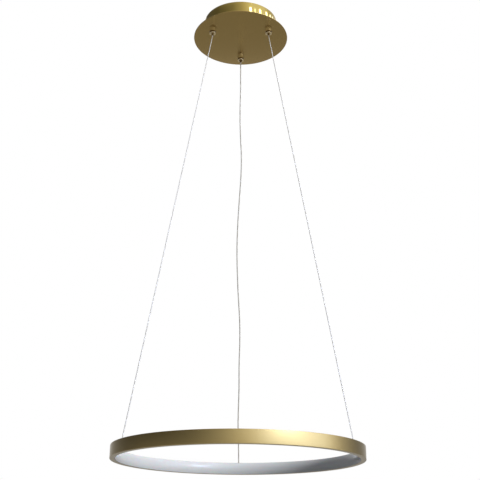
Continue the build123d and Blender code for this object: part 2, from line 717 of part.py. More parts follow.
def clamp_nut():
    foot = floor_top + WASHER_THICKNESS
    hexagon = extrude(RegularPolygon(nut_corner_radius, 6), NUT_THICKNESS)
    bore = rod(neck_radius + THREAD_CLEARANCE, foot, foot + NUT_THICKNESS)
    return Pos(0, 0, foot) * hexagon - bore


def clamp_washer():
    return sleeve(
        WASHER_DIAMETER / 2, neck_radius + SCREW_CLEARANCE, floor_top, floor_top + WASHER_THICKNESS)


def suspension_wire(side):
    """Wire from inside the canopy through its gripper, then straight to its stop in the ring."""
    angle = radians(GRIP_ANGLES[side])
    way = Vector(cos(angle), sin(angle), 0)
    points = [
        (grip_circle_radius, neck_top + WIRE_TAIL),
        (grip_circle_radius, grip_mouth - WIRE_BEND_OFFSET),
        (anchor_radius, ring_top + WIRE_BEND_OFFSET),
        (anchor_radius, channel_top - WIRE_STOP_LENGTH),
    ]
    route = [way * radius + Vector(0, 0, height) for radius, height in points]
    return cord_tube(f"wire {side}", route, WIRE_DIAMETER, WIRE_BEND_RADIUS)


def power_cable():
    """Cable from the top of the rear grip, in loose waves, to its clamp inside the ring."""
    high = Vector(0, grip_circle_radius, grip_mouth - CABLE_STRAIGHT_TOP)
    low = Vector(0, anchor_radius, ring_top + CABLE_STRAIGHT_FOOT)
    route = [Vector(0, grip_circle_radius, neck_top), high]
    for share, right, behind in CABLE_WAVES:
        route.append(high + (low - high) * share + Vector(right, behind, 0))
    route += [low, Vector(0, anchor_radius, cable_end)]
    return cord_tube("power cable", route, CABLE_DIAMETER)


def ring_profile():
    """Gold channel that opens inwards, butted at its seam, with holes in its top flange."""
    outer = ring_radius
    soft = PROFILE_EDGE_BREAK
    channel = swept_round([
        (diffuser_back, ring_foot),
        (outer - soft, ring_foot),
        (outer, ring_foot + soft),
        (outer, ring_top - soft),
        (outer - soft, ring_top),
        (diffuser_back, ring_top),
        (diffuser_back, channel_top),
        (wall_face, channel_top),
        (wall_face, channel_foot),
        (diffuser_back, channel_foot),
    ], SEAM_ANGLE + seam_span / 2, 360 - seam_span)
    for angle in GRIP_ANGLES.values():
        channel -= on_circle(angle, anchor_radius) * rod(wire_bore_radius, channel_top, ring_top)
    bush_hole = rod(BUSH_NECK_DIAMETER / 2 + RUNNING_CLEARANCE, channel_top, ring_top)
    channel -= on_circle(REAR_ANGLE, anchor_radius) * bush_hole
    joint_hole = rod(JOINT_SCREW_DIAMETER / 2 + THREAD_CLEARANCE, channel_top, ring_top)
    for angle in joint_screw_angles:
        channel -= on_circle(angle, connector_middle) * joint_hole
    return channel


def joint_connector():
    """Curved bar inside the channel that bridges the seam."""
    span = degrees(CONNECTOR_LENGTH / ring_radius)
    bar = swept_round([
        (connector_inner, connector_foot),
        (connector_outer, connector_foot),
        (connector_outer, channel_top),
        (connector_inner, channel_top),
    ], SEAM_ANGLE - span / 2, span)
    hole = rod(JOINT_SCREW_DIAMETER / 2 + THREAD_CLEARANCE, connector_foot, channel_top)
    for angle in joint_screw_angles:
        bar -= on_circle(angle, connector_middle) * hole
    return bar


def joint_screws():
    top = ring_top - JOINT_SCREW_RECESS
    one = rod(JOINT_SCREW_DIAMETER / 2, connector_foot + JOINT_SCREW_FLOOR, top)
    one -= block(JOINT_SCREW_DIAMETER, SCREW_SLOT_WIDTH, top - SCREW_SLOT_DEPTH, top)
    places = [on_circle(angle, connector_middle) for angle in joint_screw_angles]
    return Compound(children=[place * one for place in places])


def diffuser():
    """Opal strip crowned over the whole inner face, with two legs that clip inside the flanges."""
    foot = ring_foot + DIFFUSER_EDGE_GAP
    top = ring_top - DIFFUSER_EDGE_GAP
    low_leg = channel_foot + DIFFUSER_LEG_GAP
    high_leg = channel_top - DIFFUSER_LEG_GAP
    soft = DIFFUSER_EDGE_BREAK
    low_side = Polyline(
        (diffuser_face, 0, foot + soft),
        (diffuser_face + soft, 0, foot),
        (diffuser_back, 0, foot),
        (diffuser_back, 0, low_leg),
        (leg_end, 0, low_leg),
        (leg_end, 0, low_leg + DIFFUSER_LEG_THICKNESS),
        (diffuser_back, 0, low_leg + DIFFUSER_LEG_THICKNESS),
    )
    high_side = Polyline(
        (diffuser_back, 0, high_leg - DIFFUSER_LEG_THICKNESS),
        (leg_end, 0, high_leg - DIFFUSER_LEG_THICKNESS),
        (leg_end, 0, high_leg),
        (diffuser_back, 0, high_leg),
        (diffuser_back, 0, top),
        (diffuser_face + soft, 0, top),
        (diffuser_face, 0, top - soft),
    )
    hollow = ThreePointArc(low_side @ 1, (diffuser_back - DIFFUSER_CROWN, 0, ring_middle), high_side @ 0)
    front = ThreePointArc(high_side @ 1, (diffuser_face - DIFFUSER_CROWN, 0, ring_middle), low_side @ 0)
    section = make_face([*low_side.edges(), *hollow.edges(), *high_side.edges(), *front.edges()])
    return swept_face(section, SEAM_ANGLE + seam_span / 2, 360 - seam_span)


def light_strip():
    low = ring_middle - STRIP_WIDTH / 2
    high = ring_middle + STRIP_WIDTH / 2
    return swept_round(
        [(strip_face, low), (wall_face, low), (wall_face, high), (strip_face, high)],
        SEAM_ANGLE + seam_span / 2, 360 - seam_span)


def light_chips():
    count = floor(2 * pi * strip_face / CHIP_PITCH)
    back = sqrt(strip_face**2 - (CHIP_WIDTH / 2) ** 2) - CHIP_SOLDER_GAP
    one = Pos(back - CHIP_THICKNESS / 2, 0, ring_middle) * Box(CHIP_THICKNESS, CHIP_WIDTH, CHIP_HEIGHT)
    step = 360 / count
    return Compound(children=[
        Rot(0, 0, SEAM_ANGLE + (index + 0.5) * step) * one for index in range(count)])


def wire_stop():
    return sleeve(
        WIRE_STOP_DIAMETER / 2, wire_radius + RUNNING_CLEARANCE,
        channel_top - WIRE_STOP_LENGTH, channel_top)


def cable_bush():
    """Bush with a collar on the ring's top and a neck through the flange."""
    neck = BUSH_NECK_DIAMETER / 2
    return turned([
        (cable_bore_radius, clamp_top),
        (neck, clamp_top),
        (neck, ring_top),
        (BUSH_DIAMETER / 2, ring_top),
        (BUSH_DIAMETER / 2, ring_top + BUSH_HEIGHT / 2),
        (neck, ring_top + BUSH_HEIGHT),
        (cable_bore_radius, ring_top + BUSH_HEIGHT),
    ])


def cable_clamp():
    return sleeve(CLAMP_DIAMETER / 2, cable_bore_radius, clamp_foot, clamp_top)


def strip_leads():
    """Two bare ends of the cable, bent across to the light strip."""
    lead_height = cable_end - STRIP_LEAD_DROP
    leads = []
    for side in (-1, 1):
        x = side * STRIP_LEAD_SPACING / 2
        leads.append(cord_tube("strip lead", [
            (x, anchor_radius, cable_end),
            (x, anchor_radius, lead_height),
            (x, strip_face - STRIP_LEAD_SOLDER_GAP, lead_height),
        ], STRIP_LEAD_DIAMETER))
    return Compound(children=leads)


NODES = {
    "canopy_drum": canopy_drum(),
    "canopy_disc": canopy_disc(),
    "ceiling_bracket": ceiling_bracket(),
    "side_screws": side_screws(),
    "earth_screw": earth_screw(),
    "earth_lug": earth_lug(),
    "earth_lead": earth_lead(),
    "terminal_block": terminal_block(),
    "terminal_screws": terminal_screws(),
    "terminal_fixing_screws": terminal_fixing_screws(),
    "driver_pad": driver_pad(),
    "driver_case": driver_case(),
    "driver_lid": driver_lid(),
    "driver_board": driver_board(),
    "driver_transformer": driver_transformer(),
    "driver_capacitors": driver_capacitors(),
    "mains_leads": mains_leads(),
    "cable_tail": cable_tail(),
    "cable_grip_body": on_circle(REAR_ANGLE, grip_circle_radius) * cable_grip_body(),
    "cable_grip_collet": on_circle(REAR_ANGLE, grip_circle_radius) * cable_grip_collet(),
    "cable_grip_screw": on_circle(REAR_ANGLE, grip_circle_radius) * cable_grip_screw(),
    "clamp_nuts": rear_first(clamp_nut()),
    "clamp_washers": rear_first(clamp_washer()),
    "power_cable": power_cable(),
    "ring_profile": ring_profile(),
    "diffuser": diffuser(),
    "light_strip": light_strip(),
    "light_chips": light_chips(),
    "joint_connector": joint_connector(),
    "joint_screws": joint_screws(),
    "cable_bush": on_circle(REAR_ANGLE, anchor_radius) * cable_bush(),
    "cable_clamp": on_circle(REAR_ANGLE, anchor_radius) * cable_clamp(),
    "strip_leads": strip_leads(),
}
for side, angle in GRIP_ANGLES.items():
    place = on_circle(angle, grip_circle_radius)
    NODES[f"gripper_barrel_{side}"] = place * gripper_barrel()
    NODES[f"gripper_stud_{side}"] = place * gripper_stud()
    NODES[f"gripper_spring_{side}"] = place * gripper_spring()
    NODES[f"plunger_{side}"] = place * plunger()
    NODES[f"grip_balls_{side}"] = Compound(children=[place * ball for ball in grip_balls()])
    NODES[f"wire_{side}"] = suspension_wire(side)
    NODES[f"wire_stop_{side}"] = on_circle(angle, anchor_radius) * wire_stop()

os.makedirs("parts", exist_ok=True)
for name, shape in NODES.items():
    export_step(shape, f"parts/{name}.step")
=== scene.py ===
import json
import math

import bmesh
import bpy
import numpy as np
from mathutils import Matrix, Vector


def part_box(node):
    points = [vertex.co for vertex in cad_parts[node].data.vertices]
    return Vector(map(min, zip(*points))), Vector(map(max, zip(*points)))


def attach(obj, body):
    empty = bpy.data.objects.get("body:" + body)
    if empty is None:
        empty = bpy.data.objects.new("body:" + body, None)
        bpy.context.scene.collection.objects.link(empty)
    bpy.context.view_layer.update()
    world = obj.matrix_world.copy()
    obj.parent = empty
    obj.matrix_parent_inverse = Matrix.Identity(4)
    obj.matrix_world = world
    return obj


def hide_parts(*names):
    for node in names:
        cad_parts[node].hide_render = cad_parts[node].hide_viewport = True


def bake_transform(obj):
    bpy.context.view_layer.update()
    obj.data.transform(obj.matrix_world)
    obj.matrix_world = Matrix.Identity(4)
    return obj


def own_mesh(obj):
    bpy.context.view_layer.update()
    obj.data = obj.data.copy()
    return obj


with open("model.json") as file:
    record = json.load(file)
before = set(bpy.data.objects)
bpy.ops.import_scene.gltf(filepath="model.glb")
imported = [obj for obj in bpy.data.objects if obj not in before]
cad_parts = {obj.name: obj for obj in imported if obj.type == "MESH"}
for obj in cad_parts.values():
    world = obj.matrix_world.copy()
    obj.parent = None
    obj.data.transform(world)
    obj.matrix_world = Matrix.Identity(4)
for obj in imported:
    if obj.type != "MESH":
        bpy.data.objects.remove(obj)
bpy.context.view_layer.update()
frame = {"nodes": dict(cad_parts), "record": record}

# A ring light on a ceiling canopy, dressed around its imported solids.
# Metres, +Z up. The origin is the middle of the canopy on the ceiling, and the front is -Y.

MM = 0.001
WHITE = (1, 1, 1, 1)

# The photograph's view
CAMERA_PLACE = (0.0094, -1.3947, -0.9797)
CAMERA_YAW = math.radians(-0.34)
CAMERA_PITCH = math.radians(21.07)
CAMERA_ROLL = math.radians(0.35)
VIEW_ANGLE = math.radians(30.94)

# How finely the surfaces are drawn
ARC_STEPS = 7
CROWN_STEPS = 17
CANOPY_SEGMENTS = 192
BARREL_SEGMENTS = 96
TUBE_SEGMENTS = 64
STUD_SEGMENTS = 48
RING_SEGMENTS = 360
THREAD_STEPS = 8
NUT_SEGMENTS = 120
NUT_STEPS = 21
SPRING_SIDES = 8
SPRING_STEPS = 24
CORD_SIDES = 14
CORD_STEPS = 10
QUADRATIC_ORDER = 3
MERGE_DISTANCE = 1e-7
SHARP_ANGLE = math.radians(40.0)
NUT_SHARP_ANGLE = math.radians(25.0)
NOISE_DETAIL = 3.0
BEVEL_SAMPLES = 6

# Rounding of an edge that is only broken
EDGE_BREAK = 0.1 * MM

# Canopy
DRUM_WALL = 1.2 * MM
DRUM_FOOT_ROUNDING = 1.0 * MM
DRUM_LIP_ROUNDING = 0.4 * MM
DISC_ROUNDING = 0.6 * MM

# Grips, with their nuts and washers
BARREL_RADIUS = 6.0 * MM
BARREL_ROUNDING = 0.8 * MM
END_RING_HEIGHT = 1.0 * MM
BAND_HEIGHT = 3.0 * MM
BAND_RECESS = 0.3 * MM
STUD_FOOT_RADIUS = 4.3 * MM
NECK_RADIUS = 3.0 * MM
NECK_ROOF = 2.0 * MM
THREAD_PITCH = 1.0 * MM
THREAD_DEPTH = 0.45 * MM
PLUNGER_RADIUS = 2.0 * MM
PLUNGER_ROUNDING = 0.45 * MM
COLLAR_RADIUS = 2.5 * MM
COLLAR_HEIGHT = 0.8 * MM
COLLET_RADIUS = 3.2 * MM
SLIDE_GAP = 0.05 * MM
WIRE_BORE_RADIUS = 0.9 * MM
CABLE_BORE_RADIUS = 1.05 * MM
SPRING_POCKET_RADIUS = 2.2 * MM
SPRING_RADIUS = 1.7 * MM
SPRING_WIRE_DIAMETER = 0.5 * MM
SPRING_TURNS = 9
NUT_ACROSS_FLATS = 10.0 * MM
NUT_BORE_RADIUS = 3.05 * MM
NUT_FACE_SHARE = 0.97
NUT_CHAMFER_ANGLE = math.radians(30.0)
WASHER_RADIUS = 5.5 * MM
WASHER_BORE_RADIUS = 3.25 * MM
WASHER_ROUNDING = 0.25 * MM

# Ring, diffuser and cable bush
RING_DEPTH = 9.0 * MM
RING_WALL = 1.5 * MM
RING_FLANGE = 1.4 * MM
RING_ROUNDING = 0.5 * MM
SEAM_ANGLE = math.radians(110.0)
SEAM_GAP = 0.3 * MM
DIFFUSER_SEAM_GAP = 0.1 * MM
DIFFUSER_WALL = 1.2 * MM
DIFFUSER_CROWN = 2.5 * MM
DIFFUSER_EDGE_GAP = 0.2 * MM
DIFFUSER_EDGE_BREAK = 0.4 * MM
DIFFUSER_EDGE_MIDDLE = 0.12 * MM
DIFFUSER_LEG_LENGTH = 1.6 * MM
DIFFUSER_LEG_THICKNESS = 1.0 * MM
DIFFUSER_LEG_GAP = 0.1 * MM
BUSH_NECK_RADIUS = 1.7 * MM
BUSH_ROUNDING = 0.25 * MM
BUSH_MOUTH_ROUNDING = 0.2 * MM

# Faces and places that the imported part gives
drum_low, drum_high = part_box("canopy_drum")
disc_low, disc_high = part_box("canopy_disc")
ring_low, ring_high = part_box("ring_profile")
plunger_low, plunger_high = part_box("plunger_left")
barrel_low, barrel_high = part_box("gripper_barrel_left")
stud_low, stud_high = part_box("gripper_stud_left")
spring_low, spring_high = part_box("gripper_spring_left")
nut_low, nut_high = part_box("clamp_nuts")
washer_low, washer_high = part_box("clamp_washers")
bush_low, bush_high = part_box("cable_bush")
ring_radius = ring_high.x
ring_back = ring_radius - RING_DEPTH + DIFFUSER_WALL
grip_mouth = plunger_low.z
band_foot = barrel_low.z + END_RING_HEIGHT
wall_foot = band_foot + BAND_HEIGHT

# Cords and leads
WIRE_DIAMETER = 1.5 * MM
CABLE_DIAMETER = 2.0 * MM
LEAD_DIAMETER = 1.6 * MM

# The cords' routes from the grips down to the ring, in millimetres
GRIP_RADIUS = 60.0265
ANCHOR_RADIUS = 196.15
GRIP_ANGLES = {"left": math.radians(210.0), "right": math.radians(330.0)}
REAR_ANGLE = math.radians(90.0)
WIRE_TOP = -18.8
WIRE_UPPER_BEND = -49.1
WIRE_LOWER_BEND = -793.0
WIRE_FOOT = -800.4
WIRE_BEND_EASE = 6.0
CABLE_TOP = -24.8
CABLE_HIGH = np.array([0.0, GRIP_RADIUS, -67.1])
CABLE_LOW = np.array([0.0, ANCHOR_RADIUS, -770.5])
CABLE_FOOT = -801.1
# Waves of the power cable: share of the way down, then how far it strays to the right and to the back
CABLE_WAVES = [
    (0.060, 0.4, -1.0),
    (0.120, -0.9, -1.3),
    (0.180, 0.1, -0.8),
    (0.242, 2.8, -0.2),
    (0.300, 1.7, 0.5),
    (0.362, -1.4, 0.3),
    (0.425, -4.0, -0.4),
    (0.488, -5.3, -0.8),
    (0.550, -4.4, -0.3),
    (0.612, -2.4, 0.4),
    (0.672, 0.7, 0.6),
    (0.730, 1.3, 0.1),
    (0.792, -0.3, 0.3),
    (0.850, 0.2, 0.9),
    (0.906, -1.2, 1.3),
    (0.955, -1.5, 0.9),
]

# The leads' routes inside the canopy, in millimetres
BROWN_LEAD = [
    (-39.7, 30.1, -22.6), (-46.7, 30.1, -22.6), (-51.7, 24.1, -21.6), (-50.7, 15.1, -18.6),
    (-41.7, 6.1, -14.6), (-30.0, 1.0, -11.0), (-17.0, -1.5, -8.5), (-10.0, -6.0, -7.5),
    (-10.0, -18.0, -7.5)]
BLUE_LEAD = [
    (-39.7, 34.1, -22.6), (-47.2, 34.1, -22.6), (-53.7, 27.6, -22.1), (-52.7, 17.1, -21.1),
    (-43.7, 9.1, -18.6), (-31.0, 4.5, -15.0), (-18.0, 2.5, -11.5), (-7.0, 1.0, -9.0),
    (0.0, -5.0, -7.5), (0.0, -18.0, -7.5)]
EARTH_LEAD = [
    (17.0, -6.25, -2.95), (17.0, -15.25, -2.95), (20.5, -22.0, -6.0), (21.5, -30.0, -7.5),
    (21.5, -38.4, -7.5), (18.1, -41.8, -7.5), (13.4, -41.8, -7.5), (10.0, -38.4, -7.5),
    (10.0, -29.0, -7.5)]
CABLE_TAIL = [
    (0.0, GRIP_RADIUS, CABLE_TOP), (0.0, GRIP_RADIUS, -9.8), (19.5, GRIP_RADIUS, -10.8),
    (29.0, 58.6, -15.0), (32.5, 54.6, -18.4), (32.5, 48.3, -18.4)]

# Directions that no cord and no lead runs along, so that a tube's sides can be turned from them
CORD_REFERENCE = (0, 1, 0)
LEAD_REFERENCE = (0.35, 0.25, 0.9)

# Studio
FLOOR_HEIGHT = -2.45
FLOOR_RADIUS = 14.0
FLOOR_SPOKES = 129
FLOOR_RINGS = 30
FLOOR_FADE_END = 6.0
FLOOR_GLOW = 0.5
FLOOR_COLOUR = "#E9E9E7"
FLOOR_ROUGHNESS = 0.9
AMBIENT = 0.12
# Softboxes that light it: name, place, power in watts, width and height
SOFTBOXES = [
    ("key_softbox", (1.95, -1.65, 0.3), 72.0, 0.6, 0.9),
    ("top_softbox", (0.0, 0.0, 1.9), 22.0, 1.6, 1.6),
]
SURROUND_RADIUS = 2.0
SURROUND_CENTRE = (0.0, 0.0, -0.41)
# Rows and columns of the surround, in degrees, finer at the lamps that the cup mirrors
SURROUND_END = 89.0
SURROUND_STEP = 1.0
FINE_ROWS = (42.0, 48.0)
FINE_STEP = 0.2
# The surround's brightest cards are a little blue, as daylight is: their tint, and the brightness that it
# starts and ends at
CARD_TINT = (1, 1.12, 1.5, 1)
TINT_START = 0.8
TINT_END = 1.6

# What the metal mirrors: rows by elevation of (azimuth from the camera's side towards the right,
# brightness), in degrees, where brightness 1 is white. The sweep is what the ring's outside shows.
RING_SWEEP = [
    (-110, 0.06), (-60, 0.065), (-38, 0.11), (-25, 0.22), (-12, 0.4), (0, 0.66), (17, 1.12), (27, 1.65),
    (45, 1.95), (58, 2.0), (65, 1.6), (78, 1.5), (86, 0.94), (96, 0.48), (112, 0.24), (125, 0.14)]
STUDIO_ROWS = {
    -89: [(0, 0.25)],
    -62: [(-120, 0.27), (-60, 0.6), (60, 0.6), (120, 0.27)],
    -45: [(-120, 0.29), (-70, 0.42), (-18, 0.34), (18, 0.34), (70, 0.42), (120, 0.29)],
    -25: [(-120, 0.28), (-70, 0.42), (-18, 0.34), (18, 0.34), (70, 0.42), (120, 0.28)],
    -17: [(-120, 0.28), (-70, 0.4), (-18, 0.32), (18, 0.34), (70, 0.42), (120, 0.28)],
    -12: [(-140, 0.28), *RING_SWEEP, (145, 0.28)],
    -5: [(-165, 0.9), (-140, 0.22), *RING_SWEEP, (145, 0.3), (165, 0.9)],
    12: [(180, 0.8), (-160, 0.7), (-130, 0.08), (-110, 0.06), (-60, 0.06), (-38, 0.11), (-25, 0.21),
         (-12, 0.39), (0, 0.65), (12, 0.9), (17, 1.12), (27, 1.6), (45, 1.8), (58, 1.85), (65, 1.55),
         (78, 1.45), (86, 0.94), (96, 0.48), (112, 0.24), (130, 0.15), (160, 0.7)],
    38: [(180, 0.9), (-165, 0.7), (-140, 0.10), (-80, 0.11), (-50, 0.16), (-25, 0.3), (0, 0.54),
         (20, 0.85), (35, 1.25), (80, 1.2), (102, 0.75), (120, 0.6), (160, 1.0)],
    48: [(180, 0.9), (-165, 0.7), (-140, 0.12), (-80, 0.14), (-25, 0.33), (0, 0.6), (35, 1.2),
         (80, 1.15), (102, 0.75), (120, 0.7), (150, 0.8)],
    60: [(-90, 0.7), (0, 0.8), (90, 1.0), (180, 0.9)],
    89: [(0, 1.0)],
}
# Lamps among them: azimuth, width, lowest and highest elevation, edge softness, brightness
STUDIO_LAMPS = [
    (42, 17, 7, 26, 3, 8.5),
    (31, 6, 42.6, 46.4, 0.5, 12.0),
    (46, 4, 42.6, 46.0, 0.5, 3.5),
    (64, 7, 42.6, 46.4, 0.5, 9.0),
    (90, 7, 42.6, 46.4, 0.5, 8.0),
    (109, 6, 42.6, 46.0, 0.5, 5.0),
    (123, 6, 42.6, 45.8, 0.5, 4.0),
]


def camera():
    """The photograph's view: pitched up towards the lamp, and a trace out of level."""
    data = bpy.data.cameras.new("photo_camera")
    data.sensor_fit = "HORIZONTAL"
    data.angle = VIEW_ANGLE
    made = bpy.data.objects.new("photo_camera", data)
    made.matrix_world = (
        Matrix.Translation(CAMERA_PLACE) @ Matrix.Rotation(-CAMERA_YAW, 4, "Z")
        @ Matrix.Rotation(math.pi / 2 + CAMERA_PITCH, 4, "X") @ Matrix.Rotation(CAMERA_ROLL, 4, "Z"))
    bpy.context.scene.collection.objects.link(made)
    bpy.context.scene.camera = made


def surface(name, points, along, across, wrap_along=False, wrap_across=False, capped=False):
    """Mesh of a grid of points P(i, j): a four-cornered face between each point, the next one along,
    the next one across and the one beyond both. The UV map holds a value along and a value across, such as
    lengths in metres. capped closes both ends of an open tube with one face each."""
    rows, columns = points.shape[:2]
    i, j = np.meshgrid(
        np.arange(rows if wrap_along else rows - 1),
        np.arange(columns if wrap_across else columns - 1), indexing="ij")
    corner_i = np.stack([i, i + 1, i + 1, i], -1).reshape(-1, 4)
    corner_j = np.stack([j, j, j + 1, j + 1], -1).reshape(-1, 4)
    faces = ((corner_i % rows) * columns + corner_j % columns).tolist()
    lengths = np.stack([along[corner_i], across[corner_j]], -1).reshape(-1, 2)
    if capped:
        ends = np.arange(columns)
        faces += [ends.tolist(), (ends + (rows - 1) * columns).tolist()]
        end_lengths = np.stack([np.zeros(columns), across[:columns]], -1)
        lengths = np.concatenate([lengths, end_lengths, end_lengths])
    mesh = bpy.data.meshes.new(name)
    mesh.from_pydata(points.reshape(-1, 3).tolist(), [], faces, shade_flat=False)
    mesh.uv_layers.new(name="lengths").data.foreach_set("uv", lengths.astype(np.float32).ravel())
    return mesh


def piece(mesh, material, body, slot, *nodes, sharp=SHARP_ANGLE):
    """Object of a mesh: doubles merged, faces turned outwards, riding on its body for its CAD nodes.
    One with no body is left unattached."""
    shape = bmesh.new()
    shape.from_mesh(mesh)
    bmesh.ops.remove_doubles(shape, verts=shape.verts, dist=MERGE_DISTANCE)
    bmesh.ops.recalc_face_normals(shape, faces=shape.faces)
    shape.to_mesh(mesh)
    shape.free()
    made = bpy.data.objects.new(mesh.name, mesh)
    bpy.context.scene.collection.objects.link(made)
    mesh.set_sharp_from_angle(angle=sharp)
    mesh.materials.append(material)
    if body:
        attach(made, body)
    if nodes:
        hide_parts(*nodes)
    return made


def lengths_along(line):
    """The length from a line's start to each of its points."""
    return np.concatenate([[0], np.cumsum(np.linalg.norm(np.diff(line, axis=0), axis=1))])


def rounded(corners):
    """Closed outline of straight sides joined by arcs. A corner is (distance from the axis, height,
    rounding); its arc is tangent to both sides, and its points turn by equal steps about the arc's
    centre, which lies on the corner's bisector."""
    corners = np.array(corners, float)
    spots, rounding = corners[:, :2], corners[:, 2:]
    back = np.roll(spots, 1, 0) - spots
    ahead = np.roll(spots, -1, 0) - spots
    back /= np.linalg.norm(back, axis=1, keepdims=True)
    ahead /= np.linalg.norm(ahead, axis=1, keepdims=True)
    half = np.arccos(np.clip((back * ahead).sum(1, keepdims=True), -1, 1)) / 2
    bisector = (back + ahead) / np.linalg.norm(back + ahead, axis=1, keepdims=True)
    centres = spots + bisector * rounding / np.sin(half)
    first = spots + back * rounding / np.tan(half) - centres
    last = spots + ahead * rounding / np.tan(half) - centres
    share = np.linspace(0, 1, ARC_STEPS)[None, :, None]
    turn = (np.pi - 2 * half)[:, None]
    arcs = first[:, None] * np.sin((1 - share) * turn) + last[:, None] * np.sin(share * turn)
    return (centres[:, None] + arcs / np.sin(turn)).reshape(-1, 2)


def turned(name, outline, segments, axis=(0.0, 0.0), start=0.0, gap=0.0, open_outline=False,
           thread_radius=None):
    """Surface of revolution: P(angle, s) = (x + r(s) cos angle, y + r(s) sin angle, z(s)) for the outline
    (r, z). A gap leaves out that many radians at the start and closes the two ends. Where r is the thread's
    radius, it dips by depth (1 - cos(2 pi z / pitch - angle)) / 2, which winds a groove up the axis."""
    angles = start + gap / 2 + np.linspace(0, 2 * np.pi - gap, segments + 1)
    if not gap:
        angles = angles[:-1]
    z = outline[:, 1]
    r = np.repeat(outline[None, :, 0], len(angles), 0)
    if thread_radius:
        wave = (1 - np.cos(2 * np.pi * z[None] / THREAD_PITCH - angles[:, None])) / 2
        r = r - THREAD_DEPTH * wave * np.isclose(r, thread_radius)
    x = axis[0] + r * np.cos(angles)[:, None]
    y = axis[1] + r * np.sin(angles)[:, None]
    points = np.stack([x, y, np.broadcast_to(z, x.shape)], -1)
    along = np.linspace(0, 2 * np.pi, segments + 1) * outline[:, 0].max()
    across = lengths_along(np.concatenate([outline, outline[:1]]))
    return surface(
        name, points, along, across, wrap_along=not gap, wrap_across=not open_outline, capped=bool(gap))


def crowned(low, high, rise):
    """Outline points along a round arc between two (distance from the axis, height) ends at the same
    distance. Its middle stands nearer the axis by the rise c over the half height h: the arc's radius
    is (h^2 + c^2) / 2c."""
    half = (high[1] - low[1]) / 2
    radius = (half**2 + rise**2) / (2 * rise)
    heights = np.linspace(-half, half, CROWN_STEPS)
    inwards = np.sqrt(radius**2 - heights**2) - (radius - rise)
    return np.column_stack([low[0] - inwards, (low[1] + high[1]) / 2 + heights])


def smooth_line(name, points):
    """Points along the smooth line that a cord's route pulls towards itself: a quadratic NURBS spline
    with the route's points, in metres, as its control points, which starts and ends at their ends."""
    curve = bpy.data.curves.new(name, "CURVE")
    curve.dimensions = "3D"
    spline = curve.splines.new("NURBS")
    spline.points.add(len(points) - 1)
    spline.points.foreach_set("co", np.column_stack([points, np.ones(len(points))]).ravel())
    spline.order_u = QUADRATIC_ORDER
    spline.use_endpoint_u = True
    spline.resolution_u = CORD_STEPS
    holder = bpy.data.objects.new(name, curve)
    mesh = bpy.data.meshes.new_from_object(holder)
    line = np.zeros(len(mesh.vertices) * 3)
    mesh.vertices.foreach_get("co", line)
    bpy.data.objects.remove(holder)
    bpy.data.curves.remove(curve)
    bpy.data.meshes.remove(mesh)
    return line.reshape(-1, 3)


def tube(name, line, radius, reference, sides=CORD_SIDES):
    """Round profile carried along a line: P(i, angle) = line(i) + radius (side cos angle + up sin angle),
    where side is square to the line and the reference direction, and up is square to both."""
    tangent = np.gradient(line, axis=0)
    tangent /= np.linalg.norm(tangent, axis=1, keepdims=True)
    side = np.cross(tangent, np.array(reference, float))
    side /= np.linalg.norm(side, axis=1, keepdims=True)
    up = np.cross(side, tangent)
    angles = np.linspace(0, 2 * np.pi, sides, endpoint=False)[None, :, None]
    points = line[:, None] + radius * (side[:, None] * np.cos(angles) + up[:, None] * np.sin(angles))
    turns = np.linspace(0, 1, sides + 1)
    return surface(name, points, lengths_along(line), turns, wrap_across=True, capped=True)


def linear(code):
    """Linear colour of an sRGB hex code: a channel c is c / 12.92 near black, else
    ((c + 0.055) / 1.055)^2.4."""
    srgb = [int(code[k:k + 2], 16) / 255 for k in (1, 3, 5)]
    return (*[c / 12.92 if c <= 0.04045 else ((c + 0.055) / 1.055) ** 2.4 for c in srgb], 1.0)


def add(tree, kind, inputs=None, **settings):
    """Adds a node with its settings. An input, by name or by number, is a value or the output socket
    that it is linked to."""
    made = tree.nodes.new(kind)
    for name, value in settings.items():
        setattr(made, name, value)
    for name, value in (inputs or {}).items():
        if isinstance(value, bpy.types.NodeSocket):
            tree.links.new(value, made.inputs[name])
        else:
            made.inputs[name].default_value = value
    return made


def empty_tree(owner):
    """The node tree of a new material or world, with nothing in it."""
    owner.use_nodes = True
    owner.node_tree.nodes.clear()
    return owner.node_tree


def new_material(name, sockets):
    """A material of one shader joined to its output. The sockets' names have _ for a space."""
    material = bpy.data.materials.new(name)
    tree = empty_tree(material)
    values = {socket.replace("_", " "): value for socket, value in sockets.items()}
    shader = add(tree, "ShaderNodeBsdfPrincipled", values)
    add(tree, "ShaderNodeOutputMaterial", {"Surface": shader.outputs[0]})
    return material, tree, shader


